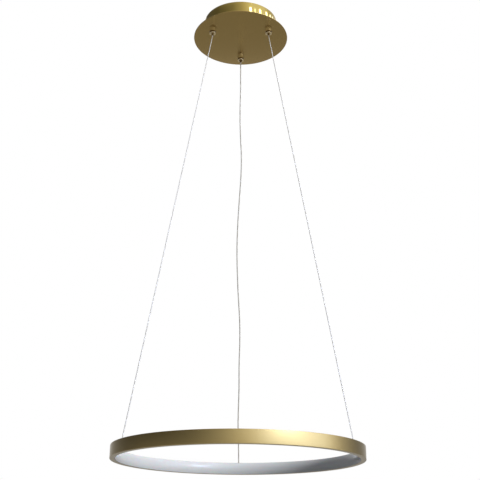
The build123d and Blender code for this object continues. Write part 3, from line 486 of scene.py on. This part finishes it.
def textured(name, low, high, roughness, grain_mm, stretch=(1, 1, 1), coordinates="Object", bump_mm=0.0,
             edge_mm=0.0, **sockets):
    """A finish whose colour and roughness drift between two values with one noise of a real grain size.
    An edge softens the shading round sharp corners as a rounding of that radius would."""
    material, tree, shader = new_material(name, sockets)
    place = add(tree, "ShaderNodeTexCoord").outputs[coordinates]
    placed = add(tree, "ShaderNodeMapping", {
        "Vector": place, "Scale": [1 / (grain_mm * MM * part) for part in stretch]})
    noise = add(tree, "ShaderNodeTexNoise", {
        "Vector": placed.outputs[0], "Scale": 1.0, "Detail": NOISE_DETAIL}).outputs["Fac"]
    colour = add(tree, "ShaderNodeMix", {
        "Factor": noise, "A": linear(low), "B": linear(high)}, data_type="RGBA")
    tree.links.new(colour.outputs["Result"], shader.inputs["Base Color"])
    spread = add(tree, "ShaderNodeMapRange", {
        "Value": noise, "To Min": roughness[0], "To Max": roughness[1]})
    tree.links.new(spread.outputs[0], shader.inputs["Roughness"])
    if bump_mm:
        bump = add(tree, "ShaderNodeBump", {"Height": noise, "Distance": bump_mm * MM, "Strength": 1.0})
        tree.links.new(bump.outputs[0], shader.inputs["Normal"])
        if edge_mm:
            edge = add(tree, "ShaderNodeBevel", {"Radius": edge_mm * MM}, samples=BEVEL_SAMPLES)
            tree.links.new(edge.outputs[0], bump.inputs["Normal"])
    return material


# Anodised aluminium, brushed round the ring and dyed pale gold: satin, and it mirrors only broad soft
# shapes. The clear film of oxide over the dye takes some of the colour out of its highlights. The brushed
# lines are drawn coarser than they are, to show.
anodised_gold = textured(
    "anodised_gold_aluminium", "#BFA45B", "#C7AC63", roughness=(0.27, 0.33), grain_mm=0.6,
    stretch=(60, 1, 1), coordinates="UV", bump_mm=0.0008, Metallic=1.0, Coat_Weight=1.0, Coat_IOR=1.77,
    Coat_Roughness=0.3)
# Steel drawn to a cup, polished and gold lacquered: bright, and it mirrors lamps as crisp upright streaks.
polished_gold = textured(
    "polished_gold_steel", "#C0A759", "#C6AD5F", roughness=(0.045, 0.07), grain_mm=6.0, bump_mm=0.0015,
    Metallic=1.0)
# The same lacquer on a flat pressed disc, satin, so that it mirrors the room only as a soft haze.
satin_gold = textured(
    "satin_gold_steel", "#B89B5D", "#BEA163", roughness=(0.23, 0.28), grain_mm=4.0, bump_mm=0.001,
    Metallic=1.0)
# Gold plated brass turned on a lathe: bright, with faint rings round the axis. The rings, here and on the
# next two finishes, are drawn coarser than they are, to show.
turned_gold = textured(
    "gold_plated_brass", "#DDC99C", "#E7D3A6", roughness=(0.24, 0.34), grain_mm=0.5, stretch=(40, 40, 1),
    bump_mm=0.002, Metallic=1.0)
# The same brass polished and plated paler on the barrels' walls: it mirrors the disc close by, and so
# it hides.
polished_brass = textured(
    "polished_pale_brass", "#EAE6DC", "#F0ECE2", roughness=(0.07, 0.11), grain_mm=0.5,
    stretch=(40, 40, 1), Metallic=1.0)
# Bronze where a piece slides or grips: brown and dark next to the plating, a darkness that is painted shade
# for the grips' mouths and for the set-in band above each end ring.
bronze_painted_shade = textured(
    "bronze_painted_shade", "#6E5632", "#80663C", roughness=(0.12, 0.20), grain_mm=0.5, stretch=(40, 40, 1),
    Metallic=1.0)
# Opal acrylic, extruded with a soft gloss: white with a faint cool cast, and light spreads a little
# under its skin.
opal_acrylic = textured(
    "opal_acrylic", "#DFE2E7", "#E4E7EC", roughness=(0.10, 0.14), grain_mm=8.0, bump_mm=0.001, IOR=1.49,
    Subsurface_Weight=0.15, Subsurface_Scale=0.002)
# Zinc plated steel: grey metal with a cloudy blue and straw cast.
zinc_steel = textured(
    "zinc_plated_steel", "#A9ADB3", "#C3C0B4", roughness=(0.24, 0.40), grain_mm=5.0, bump_mm=0.003,
    edge_mm=0.25, Metallic=1.0)
# Glass filled nylon, moulded white: fine matt grain.
white_nylon = textured(
    "moulded_white_nylon", "#E4E3DD", "#EEEDE8", roughness=(0.45, 0.58), grain_mm=0.9, bump_mm=0.012,
    edge_mm=0.5)
# Soft clear vinyl of the cable's bush: a milky grey with a wet gloss.
clear_vinyl = textured(
    "clear_soft_vinyl", "#BFBCB5", "#CECBC4", roughness=(0.15, 0.25), grain_mm=1.2, bump_mm=0.004, IOR=1.53)
# Polyethylene foam tape: grey, dull and pitted all over by its cells.
foam_tape = textured(
    "grey_foam_tape", "#5E5F62", "#737477", roughness=(0.80, 0.95), grain_mm=0.5, bump_mm=0.05)
# Epoxy glass board under green solder resist: a smooth film, a little cloudy where it pooled.
solder_resist = textured(
    "green_solder_resist", "#1C5A38", "#267046", roughness=(0.25, 0.38), grain_mm=3.0, bump_mm=0.004)
# The same film in white on the light strip, so that it throws the light back: bright and half matt.
white_resist = textured(
    "white_solder_resist", "#E6E6E0", "#F0F0EB", roughness=(0.35, 0.48), grain_mm=3.0, bump_mm=0.003)
# Silicone gel filled with phosphor on each light chip: egg yellow and softly glossy.
phosphor = textured(
    "yellow_phosphor_gel", "#E2BE4C", "#EFD06A", roughness=(0.30, 0.42), grain_mm=0.8, bump_mm=0.01)
# Polyester tape wound round the transformer: amber film that shines along its wrap.
winding_tape = textured(
    "polyester_winding_tape", "#C79A1E", "#D8AE35", roughness=(0.25, 0.36), grain_mm=2.0, bump_mm=0.01)
# Shrunk vinyl sleeve on the capacitors: dark blue grey, stretched smooth.
capacitor_sleeve = textured(
    "dark_capacitor_sleeve", "#23252F", "#2E3040", roughness=(0.28, 0.38), grain_mm=2.0, bump_mm=0.004)
# Extruded vinyl on the mains leads, brown and blue: even colour with a waxy sheen.
brown_insulation = textured(
    "brown_vinyl_insulation", "#5A3420", "#6A4029", roughness=(0.38, 0.50), grain_mm=1.0, bump_mm=0.006)
blue_insulation = textured(
    "blue_vinyl_insulation", "#2C5C9E", "#3A6CB0", roughness=(0.38, 0.50), grain_mm=1.0, bump_mm=0.006)
# Copper dipped in tin: soft silver grey with small dull patches.
tinned_copper = textured(
    "tinned_copper", "#B9B4A8", "#CBC7BD", roughness=(0.25, 0.38), grain_mm=0.8, bump_mm=0.006,
    Metallic=1.0)
# Hard drawn and ground steel of the springs, balls and grub screw: neutral and mirror bright.
polished_steel = textured(
    "polished_steel", "#BDBDBE", "#C9C9CA", roughness=(0.08, 0.14), grain_mm=1.5, bump_mm=0.001,
    Metallic=1.0)


def twisted(name, groove, crest, strands, spacing_mm, depth_mm=0.0, edge=1.0, **sockets):
    """Strands laid round a cord: their height is sin(2 pi (length / spacing + strands turn)), so that
    their grooves slant. A small edge squares the wave, which makes a stripe of it."""
    material, tree, shader = new_material(name, sockets)
    place = add(tree, "ShaderNodeTexCoord").outputs["UV"]
    phase = add(tree, "ShaderNodeVectorMath", {
        0: place, 1: (2 * math.pi / (spacing_mm * MM), 2 * math.pi * strands, 0)}, operation="DOT_PRODUCT")
    height = add(tree, "ShaderNodeMath", {0: phase.outputs["Value"]}, operation="SINE")
    level = add(tree, "ShaderNodeMapRange", {
        "Value": height.outputs[0], "From Min": -edge, "From Max": edge}).outputs[0]
    colour = add(tree, "ShaderNodeMix", {
        "Factor": level, "A": linear(groove), "B": linear(crest)}, data_type="RGBA")
    tree.links.new(colour.outputs["Result"], shader.inputs["Base Color"])
    if depth_mm:
        bump = add(tree, "ShaderNodeBump", {"Height": level, "Distance": depth_mm * MM})
        tree.links.new(bump.outputs[0], shader.inputs["Normal"])
    return material


# Stainless rope of fine strands: bright, with slanting grooves whose darker colour is painted shade between
# the strands. The grooves are drawn half as far apart again as they are, to show.
stainless_rope = twisted(
    "stainless_rope", "#CECBC6", "#F4F2EE", strands=6, spacing_mm=2.4, depth_mm=0.03, Roughness=0.45,
    Metallic=0.5)
# Clear sheath over two twisted tinned cores: pale bands of the cores slant under a glossy skin, with darker
# grey between them as painted shade in the gaps between the cores.
clear_sheath = twisted(
    "clear_sheath_on_cores", "#AEA89E", "#D9D5CE", strands=2, spacing_mm=16.0, Roughness=0.30,
    Coat_Weight=0.8, Coat_Roughness=0.08)
# Vinyl insulation in two colours: a yellow stripe winds round the green.
earth_insulation = twisted(
    "green_yellow_vinyl_insulation", "#3C8A2E", "#D2C436", strands=1, spacing_mm=30.0, edge=0.12,
    Roughness=0.42)


def wire_route(angle):
    """A wire's route: down through its grip, out to the ring and into it, with points near each bend."""
    outwards = np.array([math.cos(angle), math.sin(angle), 0.0])
    upper = outwards * GRIP_RADIUS + (0, 0, WIRE_UPPER_BEND)
    lower = outwards * ANCHOR_RADIUS + (0, 0, WIRE_LOWER_BEND)
    way = (lower - upper) / np.linalg.norm(lower - upper)
    return MM * np.array([
        outwards * GRIP_RADIUS + (0, 0, WIRE_TOP),
        upper + (0, 0, WIRE_BEND_EASE),
        upper,
        upper + way * WIRE_BEND_EASE,
        lower - way * WIRE_BEND_EASE,
        lower,
        outwards * ANCHOR_RADIUS + (0, 0, WIRE_FOOT),
    ])


def cable_route():
    """The power cable's route: its straight ends and the loose waves between them."""
    waves = np.array(CABLE_WAVES)
    middle = CABLE_HIGH + (CABLE_LOW - CABLE_HIGH) * waves[:, :1]
    middle[:, :2] += waves[:, 1:]
    return MM * np.array([
        (0, GRIP_RADIUS, CABLE_TOP), CABLE_HIGH, *middle, CABLE_LOW, (0, ANCHOR_RADIUS, CABLE_FOOT)])


def hang(name, node, route, diameter, material, slot):
    """A cord from the canopy to the ring, parted at its grip's mouth. The held end stays unattached inside
    the grip, and the free length rides on the suspension body."""
    line = smooth_line(name, route)
    parting = np.flatnonzero(line[:, 2] <= grip_mouth)[0]
    held, free = line[:parting + 1], line[parting:]
    held_end = piece(
        tube(f"{name}_held_end", held, diameter / 2, CORD_REFERENCE), material, None, slot)
    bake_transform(held_end)
    made = piece(tube(name, free, diameter / 2, CORD_REFERENCE), material, "suspension", slot, node)
    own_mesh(made)


def cords():
    """The two wires at the front and the power cable at the back."""
    for side, angle in GRIP_ANGLES.items():
        hang(f"suspension_wire_{side}", f"wire_{side}", wire_route(angle), WIRE_DIAMETER, stainless_rope,
             "stainless_wire")
    hang("power_cable_clear", "power_cable", cable_route(), CABLE_DIAMETER, clear_sheath, "clear_sheath")


def canopy():
    """Drawn cup with a rounded foot, on a wider flat disc with rounded edges."""
    outer = drum_high.x
    inner = outer - DRUM_WALL
    floor = drum_low.z + DRUM_WALL
    cup = rounded([
        (0, drum_low.z, 0),
        (outer, drum_low.z, DRUM_FOOT_ROUNDING),
        (outer, drum_high.z, DRUM_LIP_ROUNDING),
        (inner, drum_high.z, DRUM_LIP_ROUNDING),
        (inner, floor, DRUM_FOOT_ROUNDING),
        (0, floor, 0),
    ])
    piece(turned("canopy_cup", cup, CANOPY_SEGMENTS, open_outline=True), polished_gold, "canopy",
          "gold_plated_steel", "canopy_drum")
    plate = rounded([
        (0, disc_low.z, 0),
        (disc_high.x, disc_low.z, DISC_ROUNDING),
        (disc_high.x, disc_high.z, DISC_ROUNDING),
        (0, disc_high.z, 0),
    ])
    piece(turned("canopy_plate", plate, CANOPY_SEGMENTS, open_outline=True), satin_gold, "canopy",
          "gold_plated_steel", "canopy_disc")


def grip_axis(angle):
    """Where a grip's upright axis stands, as (x, y)."""
    return (GRIP_RADIUS * MM * math.cos(angle), GRIP_RADIUS * MM * math.sin(angle))


def neck(foot, top):
    """Outline points up a threaded neck, with equal steps in each turn of its thread."""
    heights = np.arange(foot + THREAD_PITCH / 2, top, THREAD_PITCH / THREAD_STEPS)
    return np.column_stack([np.full(len(heights), NECK_RADIUS), heights])


def hexagon_nut(name, axis):
    """Hexagon nut: P(angle, s) has the radius of the hexagon, (flats / 2) / cos of the angle from the
    nearest flat, held in by a cone that leaves each face at the chamfer's angle."""
    low, high = nut_low.z, nut_high.z
    heights = np.concatenate([[low], np.linspace(low, high, NUT_STEPS), [high]])
    angles = np.linspace(0, 2 * np.pi, NUT_SEGMENTS, endpoint=False)
    flat = NUT_ACROSS_FLATS / 2
    hexagon = flat / np.cos((angles + np.pi / 6) % (np.pi / 3) - np.pi / 6)
    depth = np.minimum(heights - low, high - heights)
    cone = flat * NUT_FACE_SHARE + depth / math.tan(NUT_CHAMFER_ANGLE)
    r = np.minimum(hexagon[:, None], cone[None])
    r[:, [0, -1]] = NUT_BORE_RADIUS
    points = np.stack([
        axis[0] + r * np.cos(angles)[:, None], axis[1] + r * np.sin(angles)[:, None],
        np.broadcast_to(heights, r.shape)], -1)
    along = np.linspace(0, NUT_ACROSS_FLATS * np.pi, len(angles) + 1)
    across = np.linspace(0, high - low, len(heights) + 1)
    return surface(name, points, along, across, wrap_along=True, wrap_across=True)


def coil_spring(name, axis):
    """Round wire carried along a helix: line(t) = (radius cos t, radius sin t, rise t)."""
    turn = np.linspace(0, 2 * np.pi * SPRING_TURNS, SPRING_STEPS * SPRING_TURNS + 1)
    half = SPRING_WIRE_DIAMETER / 2
    line = np.column_stack([
        axis[0] + SPRING_RADIUS * np.cos(turn), axis[1] + SPRING_RADIUS * np.sin(turn),
        np.linspace(spring_low.z + half, spring_high.z - half, len(turn))])
    return tube(name, line, half, reference=(0, 0, 1), sides=SPRING_SIDES)


def barrel_foot(name, axis, bore, node):
    """Pale turned ring that closes a barrel's foot, under a dark band that is set in a little; the band's
    darkness is painted shade.
    """
    end_ring = rounded([
        (bore, barrel_low.z, 0),
        (BARREL_RADIUS, barrel_low.z, BARREL_ROUNDING),
        (BARREL_RADIUS, band_foot, 0),
        (bore, band_foot, 0),
    ])
    piece(turned(f"{name}_end_ring", end_ring, BARREL_SEGMENTS, axis), turned_gold, "canopy", "gold_brass",
          node)
    waist = BARREL_RADIUS - BAND_RECESS
    band = rounded([
        (STUD_FOOT_RADIUS, band_foot, 0),
        (waist, band_foot, 0),
        (waist, wall_foot, 0),
        (STUD_FOOT_RADIUS, wall_foot, 0),
    ])
    # The band's dark bronze is painted shade in the recess above the end ring.
    piece(turned(f"{name}_band", band, BARREL_SEGMENTS, axis), bronze_painted_shade, "canopy", "gold_brass", node)


def wire_grip(side, axis):
    """Barrel on a threaded stud, round a release tube that frees the wire when it is pushed up against
    its spring."""
    top, stud_top = barrel_high.z, stud_high.z
    barrel_foot(f"grip_{side}", axis, PLUNGER_RADIUS + SLIDE_GAP, f"gripper_barrel_{side}")
    seat = STUD_FOOT_RADIUS + SLIDE_GAP
    barrel = rounded([
        (seat, wall_foot, 0),
        (BARREL_RADIUS, wall_foot, 0),
        (BARREL_RADIUS, top, 0),
        (seat, top, 0),
    ])
    piece(turned(f"grip_barrel_{side}", barrel, BARREL_SEGMENTS, axis), polished_brass, "canopy",
          "gold_brass", f"gripper_barrel_{side}")
    stud = np.concatenate([
        [(SPRING_POCKET_RADIUS, stud_low.z), (STUD_FOOT_RADIUS, stud_low.z), (STUD_FOOT_RADIUS, top)],
        neck(top, stud_top),
        [(NECK_RADIUS - THREAD_DEPTH, stud_top), (WIRE_BORE_RADIUS, stud_top),
         (WIRE_BORE_RADIUS, stud_top - NECK_ROOF), (SPRING_POCKET_RADIUS, stud_top - NECK_ROOF)],
    ])
    piece(turned(f"grip_stud_{side}", stud, STUD_SEGMENTS, axis, thread_radius=NECK_RADIUS), turned_gold,
          "canopy", "gold_brass", f"gripper_stud_{side}")
    collar_foot = plunger_high.z - COLLAR_HEIGHT
    release = rounded([
        (WIRE_BORE_RADIUS, grip_mouth, EDGE_BREAK),
        (PLUNGER_RADIUS, grip_mouth, PLUNGER_ROUNDING),
        (PLUNGER_RADIUS, collar_foot, 0),
        (COLLAR_RADIUS, collar_foot, 0),
        (COLLAR_RADIUS, plunger_high.z, 0),
        (WIRE_BORE_RADIUS, plunger_high.z, 0),
    ])
    # The release tube's dark bronze is painted shade in the grip's mouth.
    piece(turned(f"release_tube_{side}", release, TUBE_SEGMENTS, axis), bronze_painted_shade, f"plunger_{side}",
          "gold_brass", f"plunger_{side}")
    spring = piece(coil_spring(f"release_spring_{side}", axis), polished_steel, "canopy", "polished_steel",
                   f"gripper_spring_{side}")
    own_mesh(spring)


def cable_grip(axis):
    """Barrel in one piece with its threaded neck, round a bronze collet that holds the power cable."""
    top, neck_top, roof = barrel_high.z, stud_high.z, stud_low.z
    pocket = COLLET_RADIUS + SLIDE_GAP
    barrel_foot("cable_grip", axis, pocket, "cable_grip_body")
    body = np.concatenate([
        [(pocket, wall_foot), (BARREL_RADIUS, wall_foot), (BARREL_RADIUS, top),
         (NECK_RADIUS - THREAD_DEPTH, top)],
        neck(top, neck_top),
        [(NECK_RADIUS - THREAD_DEPTH, neck_top), (CABLE_BORE_RADIUS, neck_top), (CABLE_BORE_RADIUS, roof),
         (pocket, roof)],
    ])
    piece(turned("cable_grip_barrel", body, BARREL_SEGMENTS, axis, thread_radius=NECK_RADIUS),
          polished_brass, "canopy", "gold_brass", "cable_grip_body")
    collet = rounded([
        (CABLE_BORE_RADIUS, grip_mouth, EDGE_BREAK),
        (PLUNGER_RADIUS, grip_mouth, PLUNGER_ROUNDING),
        (PLUNGER_RADIUS, barrel_low.z, 0),
        (COLLET_RADIUS, barrel_low.z, 0),
        (COLLET_RADIUS, roof, 0),
        (CABLE_BORE_RADIUS, roof, 0),
    ])
    # The collet's dark bronze is painted shade in the cable grip's mouth.
    piece(turned("cable_collet", collet, TUBE_SEGMENTS, axis), bronze_painted_shade, "canopy", "gold_brass",
          "cable_grip_collet")


def clamp(name, axis):
    """Nut and washer that hold a grip's neck inside the cup."""
    piece(hexagon_nut(f"grip_nut_{name}", axis), zinc_steel, "canopy", "zinc_steel", "clamp_nuts",
          sharp=NUT_SHARP_ANGLE)
    washer = rounded([
        (WASHER_BORE_RADIUS, washer_low.z, EDGE_BREAK),
        (WASHER_RADIUS, washer_low.z, WASHER_ROUNDING),
        (WASHER_RADIUS, washer_high.z, WASHER_ROUNDING),
        (WASHER_BORE_RADIUS, washer_high.z, EDGE_BREAK),
    ])
    piece(turned(f"grip_washer_{name}", washer, BARREL_SEGMENTS, axis), zinc_steel, "canopy", "zinc_steel",
          "clamp_washers")


def grips():
    """The two wire grips, the cable grip at the back, and what clamps the three of them."""
    for side, angle in GRIP_ANGLES.items():
        wire_grip(side, grip_axis(angle))
    cable_grip(grip_axis(REAR_ANGLE))
    for name, angle in [*GRIP_ANGLES.items(), ("rear", REAR_ANGLE)]:
        clamp(name, grip_axis(angle))


def leads():
    """Insulated leads between the driver, the terminal block, the earth lug and the rear grip."""
    for name, route, diameter, material, slot, node in (
            ("brown_lead", BROWN_LEAD, LEAD_DIAMETER, brown_insulation, "mains_sheath", "mains_leads"),
            ("blue_lead", BLUE_LEAD, LEAD_DIAMETER, blue_insulation, "mains_sheath", "mains_leads"),
            ("earth_lead_striped", EARTH_LEAD, LEAD_DIAMETER, earth_insulation, "earth_sheath",
             "earth_lead"),
            ("cable_tail_clear", CABLE_TAIL, CABLE_DIAMETER, clear_sheath, "clear_sheath", "cable_tail")):
        line = smooth_line(name, MM * np.array(route))
        piece(tube(name, line, diameter / 2, LEAD_REFERENCE), material, "canopy", slot, node)


def ring_channel():
    """Gold channel that opens inwards, parted at its seam."""
    low, high = ring_low.z, ring_high.z
    wall = ring_radius - RING_WALL
    channel = rounded([
        (ring_back, low, EDGE_BREAK),
        (ring_radius, low, RING_ROUNDING),
        (ring_radius, high, RING_ROUNDING),
        (ring_back, high, EDGE_BREAK),
        (ring_back, high - RING_FLANGE, 0),
        (wall, high - RING_FLANGE, 0),
        (wall, low + RING_FLANGE, 0),
        (ring_back, low + RING_FLANGE, 0),
    ])
    mesh = turned("ring_channel", channel, RING_SEGMENTS, start=SEAM_ANGLE, gap=SEAM_GAP / ring_radius)
    piece(mesh, anodised_gold, "ring", "gold_satin_aluminium", "ring_profile")


def opal_strip():
    """Crowned opal strip that closes the channel, with a leg inside each of the channel's flanges."""
    back, face = ring_back, ring_radius - RING_DEPTH
    foot, top = ring_low.z + DIFFUSER_EDGE_GAP, ring_high.z - DIFFUSER_EDGE_GAP
    leg_end = back + DIFFUSER_LEG_LENGTH
    low_leg = ring_low.z + RING_FLANGE + DIFFUSER_LEG_GAP
    high_leg = ring_high.z - RING_FLANGE - DIFFUSER_LEG_GAP
    low_inside = low_leg + DIFFUSER_LEG_THICKNESS
    high_inside = high_leg - DIFFUSER_LEG_THICKNESS
    soft, soft_middle = DIFFUSER_EDGE_BREAK, DIFFUSER_EDGE_MIDDLE
    strip = np.concatenate([
        [(back, foot), (back, low_leg), (leg_end, low_leg), (leg_end, low_inside)],
        crowned((back, low_inside), (back, high_inside), DIFFUSER_CROWN),
        [(leg_end, high_inside), (leg_end, high_leg), (back, high_leg), (back, top), (face + soft, top),
         (face + soft_middle, top - soft_middle)],
        crowned((face, foot + soft), (face, top - soft), DIFFUSER_CROWN)[::-1],
        [(face + soft_middle, foot + soft_middle), (face + soft, foot)],
    ])
    mesh = turned("opal_strip", strip, RING_SEGMENTS, start=SEAM_ANGLE, gap=DIFFUSER_SEAM_GAP / ring_radius)
    piece(mesh, opal_acrylic, "ring", "opal_diffuser", "diffuser")


def cable_bush():
    """Low clear bush where the power cable goes into the ring's top."""
    axis = ((bush_low.x + bush_high.x) / 2, (bush_low.y + bush_high.y) / 2)
    radius = (bush_high.x - bush_low.x) / 2
    bush = rounded([
        (CABLE_BORE_RADIUS, bush_low.z, 0),
        (BUSH_NECK_RADIUS, bush_low.z, 0),
        (BUSH_NECK_RADIUS, ring_high.z, 0),
        (radius, ring_high.z, EDGE_BREAK),
        (radius, bush_high.z, BUSH_ROUNDING),
        (CABLE_BORE_RADIUS, bush_high.z, BUSH_MOUTH_ROUNDING),
    ])
    piece(turned("cable_bush_clear", bush, TUBE_SEGMENTS, axis), clear_vinyl, "ring", "clear_sheath",
          "cable_bush")


SLOT_MATERIALS = {
    "gold_satin_aluminium": anodised_gold,
    "gold_plated_steel": polished_gold,
    "gold_brass": turned_gold,
    "zinc_steel": zinc_steel,
    "stainless_wire": stainless_rope,
    "clear_sheath": clear_sheath,
    "opal_diffuser": opal_acrylic,
    "white_plastic": white_nylon,
    "grey_foam_tape": foam_tape,
    "green_board": solder_resist,
    "white_board": white_resist,
    "phosphor_chip": phosphor,
    "transformer_tape": winding_tape,
    "capacitor_can": capacitor_sleeve,
    "mains_sheath": brown_insulation,
    "earth_sheath": earth_insulation,
    "tinned_copper": tinned_copper,
    "polished_steel": polished_steel,
}


def dress_solids():
    """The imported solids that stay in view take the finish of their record's slot."""
    for entry in frame["record"]["subparts"]:
        solid = frame["nodes"][entry["node"]]
        solid.data.materials.clear()
        solid.data.materials.append(SLOT_MATERIALS[entry["material_slot"]])


def studio_glow(azimuth, elevation):
    """Brightness of the surround: each row is drawn round its elevation by straight steps, the rows are
    mixed by elevation, and a lamp covers them where both angles lie in it, fading by 3t^2 - 2t^3."""
    heights = np.array(list(STUDIO_ROWS), float)
    rows = np.stack([
        np.interp(azimuth, *np.array(row, float).T, period=360) for row in STUDIO_ROWS.values()])
    place = np.interp(elevation, heights, np.arange(len(heights)))
    below = np.clip(place.astype(int), 0, len(heights) - 2)
    lower = np.take_along_axis(rows, below[None], 0)[0]
    upper = np.take_along_axis(rows, below[None] + 1, 0)[0]
    glow = lower + (upper - lower) * (place - below)
    for middle, width, low, high, soft, level in STUDIO_LAMPS:
        across = np.abs((azimuth - middle + 180) % 360 - 180) - width / 2
        up = np.abs(elevation - (low + high) / 2) - (high - low) / 2
        t = np.clip(0.5 - np.stack([across, up]) / soft, 0, 1)
        glow += (level - glow) * (t * t * (3 - 2 * t)).prod(0)
    return glow


def surround():
    """Sphere of cards and lamps that only mirrors see: P(azimuth, elevation) = centre + radius
    (sin azimuth cos elevation, -cos azimuth cos elevation, sin elevation)."""
    rows = np.concatenate([
        np.arange(-SURROUND_END, FINE_ROWS[0], SURROUND_STEP),
        np.arange(*FINE_ROWS, FINE_STEP),
        np.arange(FINE_ROWS[1], SURROUND_END + SURROUND_STEP, SURROUND_STEP)])
    columns = np.arange(0, 360 + SURROUND_STEP, SURROUND_STEP)
    azimuth, elevation = np.meshgrid(columns, rows, indexing="ij")
    across, up = np.radians(azimuth), np.radians(elevation)
    points = np.array(SURROUND_CENTRE) + SURROUND_RADIUS * np.stack(
        [np.sin(across) * np.cos(up), -np.cos(across) * np.cos(up), np.sin(up)], -1)
    mesh = surface("studio_surround", points, columns, rows)
    mesh.attributes.new("glow", "FLOAT", "POINT").data.foreach_set(
        "value", studio_glow(azimuth, elevation).astype(np.float32).ravel())
    cards = bpy.data.materials.new("studio_cards")
    cards.cycles.emission_sampling = "NONE"
    tree = empty_tree(cards)
    level = add(tree, "ShaderNodeAttribute", attribute_name="glow").outputs["Fac"]
    bright = add(tree, "ShaderNodeMapRange", {
        "Value": level, "From Min": TINT_START, "From Max": TINT_END}).outputs[0]
    tint = add(tree, "ShaderNodeMix", {"Factor": bright, "A": WHITE, "B": CARD_TINT}, data_type="RGBA")
    light = add(tree, "ShaderNodeEmission", {"Color": tint.outputs["Result"], "Strength": level})
    add(tree, "ShaderNodeOutputMaterial", {"Surface": light.outputs[0]})
    mesh.materials.append(cards)
    made = bpy.data.objects.new("studio_surround", mesh)
    for ray in ("camera", "diffuse", "shadow", "transmission", "volume_scatter"):
        setattr(made, f"visible_{ray}", False)
    bpy.context.scene.collection.objects.link(made)
    return made


def paper_floor():
    """Round sheet of pale paper, P(turn, reach) = (reach cos turn, reach sin turn, height), that brightens
    with its reach until it meets the white all round."""
    turn = np.linspace(0, 2 * np.pi, FLOOR_SPOKES)
    reach = np.linspace(0, FLOOR_RADIUS, FLOOR_RINGS)
    points = np.stack([
        reach[None] * np.cos(turn)[:, None], reach[None] * np.sin(turn)[:, None],
        np.full((FLOOR_SPOKES, FLOOR_RINGS), FLOOR_HEIGHT)], -1)
    mesh = surface("studio_floor", points, turn, reach)
    paper = bpy.data.materials.new("pale_floor_paper")
    tree = empty_tree(paper)
    place = add(tree, "ShaderNodeTexCoord").outputs["UV"]
    far = add(tree, "ShaderNodeSeparateXYZ", {"Vector": place}).outputs["Y"]
    fade = add(tree, "ShaderNodeMapRange", {
        "Value": far, "From Max": FLOOR_FADE_END, "To Min": FLOOR_GLOW, "To Max": 1.0},
        interpolation_type="SMOOTHSTEP")
    shader = add(tree, "ShaderNodeBsdfPrincipled", {
        "Base Color": linear(FLOOR_COLOUR), "Roughness": FLOOR_ROUGHNESS, "Emission Color": WHITE,
        "Emission Strength": fade.outputs[0]})
    add(tree, "ShaderNodeOutputMaterial", {"Surface": shader.outputs[0]})
    mesh.materials.append(paper)
    made = bpy.data.objects.new("studio_floor", mesh)
    made.visible_diffuse = False
    bpy.context.scene.collection.objects.link(made)
    return made


def softbox(name, place, power, width, height):
    """Soft lamp turned towards the middle of the surround, and left out of mirrors."""
    lamp = bpy.data.lights.new(name, "AREA")
    lamp.shape = "RECTANGLE"
    lamp.size = width
    lamp.size_y = height
    lamp.energy = power
    made = bpy.data.objects.new(name, lamp)
    made.location = place
    towards = Vector(SURROUND_CENTRE) - Vector(place)
    made.rotation_euler = towards.to_track_quat("-Z", "Y").to_euler()
    made.visible_glossy = False
    bpy.context.scene.collection.objects.link(made)


def white_world():
    """White where the camera, a mirror or a clear piece looks at it, and a faint fill for the rest."""
    world = bpy.data.worlds.new("white_studio")
    tree = empty_tree(world)
    ray = add(tree, "ShaderNodeLightPath").outputs
    seen = add(tree, "ShaderNodeMath", {0: ray["Is Camera Ray"], 1: ray["Is Glossy Ray"]}, operation="ADD")
    shown = add(tree, "ShaderNodeMath", {
        0: seen.outputs[0], 1: ray["Is Transmission Ray"]}, operation="ADD", use_clamp=True)
    strength = add(tree, "ShaderNodeMapRange", {
        "Value": shown.outputs[0], "To Min": AMBIENT, "To Max": 1.0})
    back = add(tree, "ShaderNodeBackground", {"Color": WHITE, "Strength": strength.outputs[0]})
    add(tree, "ShaderNodeOutputWorld", {"Surface": back.outputs[0]})
    bpy.context.scene.world = world


def studio():
    """Pale floor, cards for the metal to mirror, a soft key from the right, a soft top light and a fill
    from all round."""
    surround()
    paper_floor()
    for entry in SOFTBOXES:
        softbox(*entry)
    white_world()


camera()
cords()
canopy()
grips()
leads()
ring_channel()
opal_strip()
cable_bush()
dress_solids()
studio()

bpy.context.scene.view_settings.view_transform = "Standard"
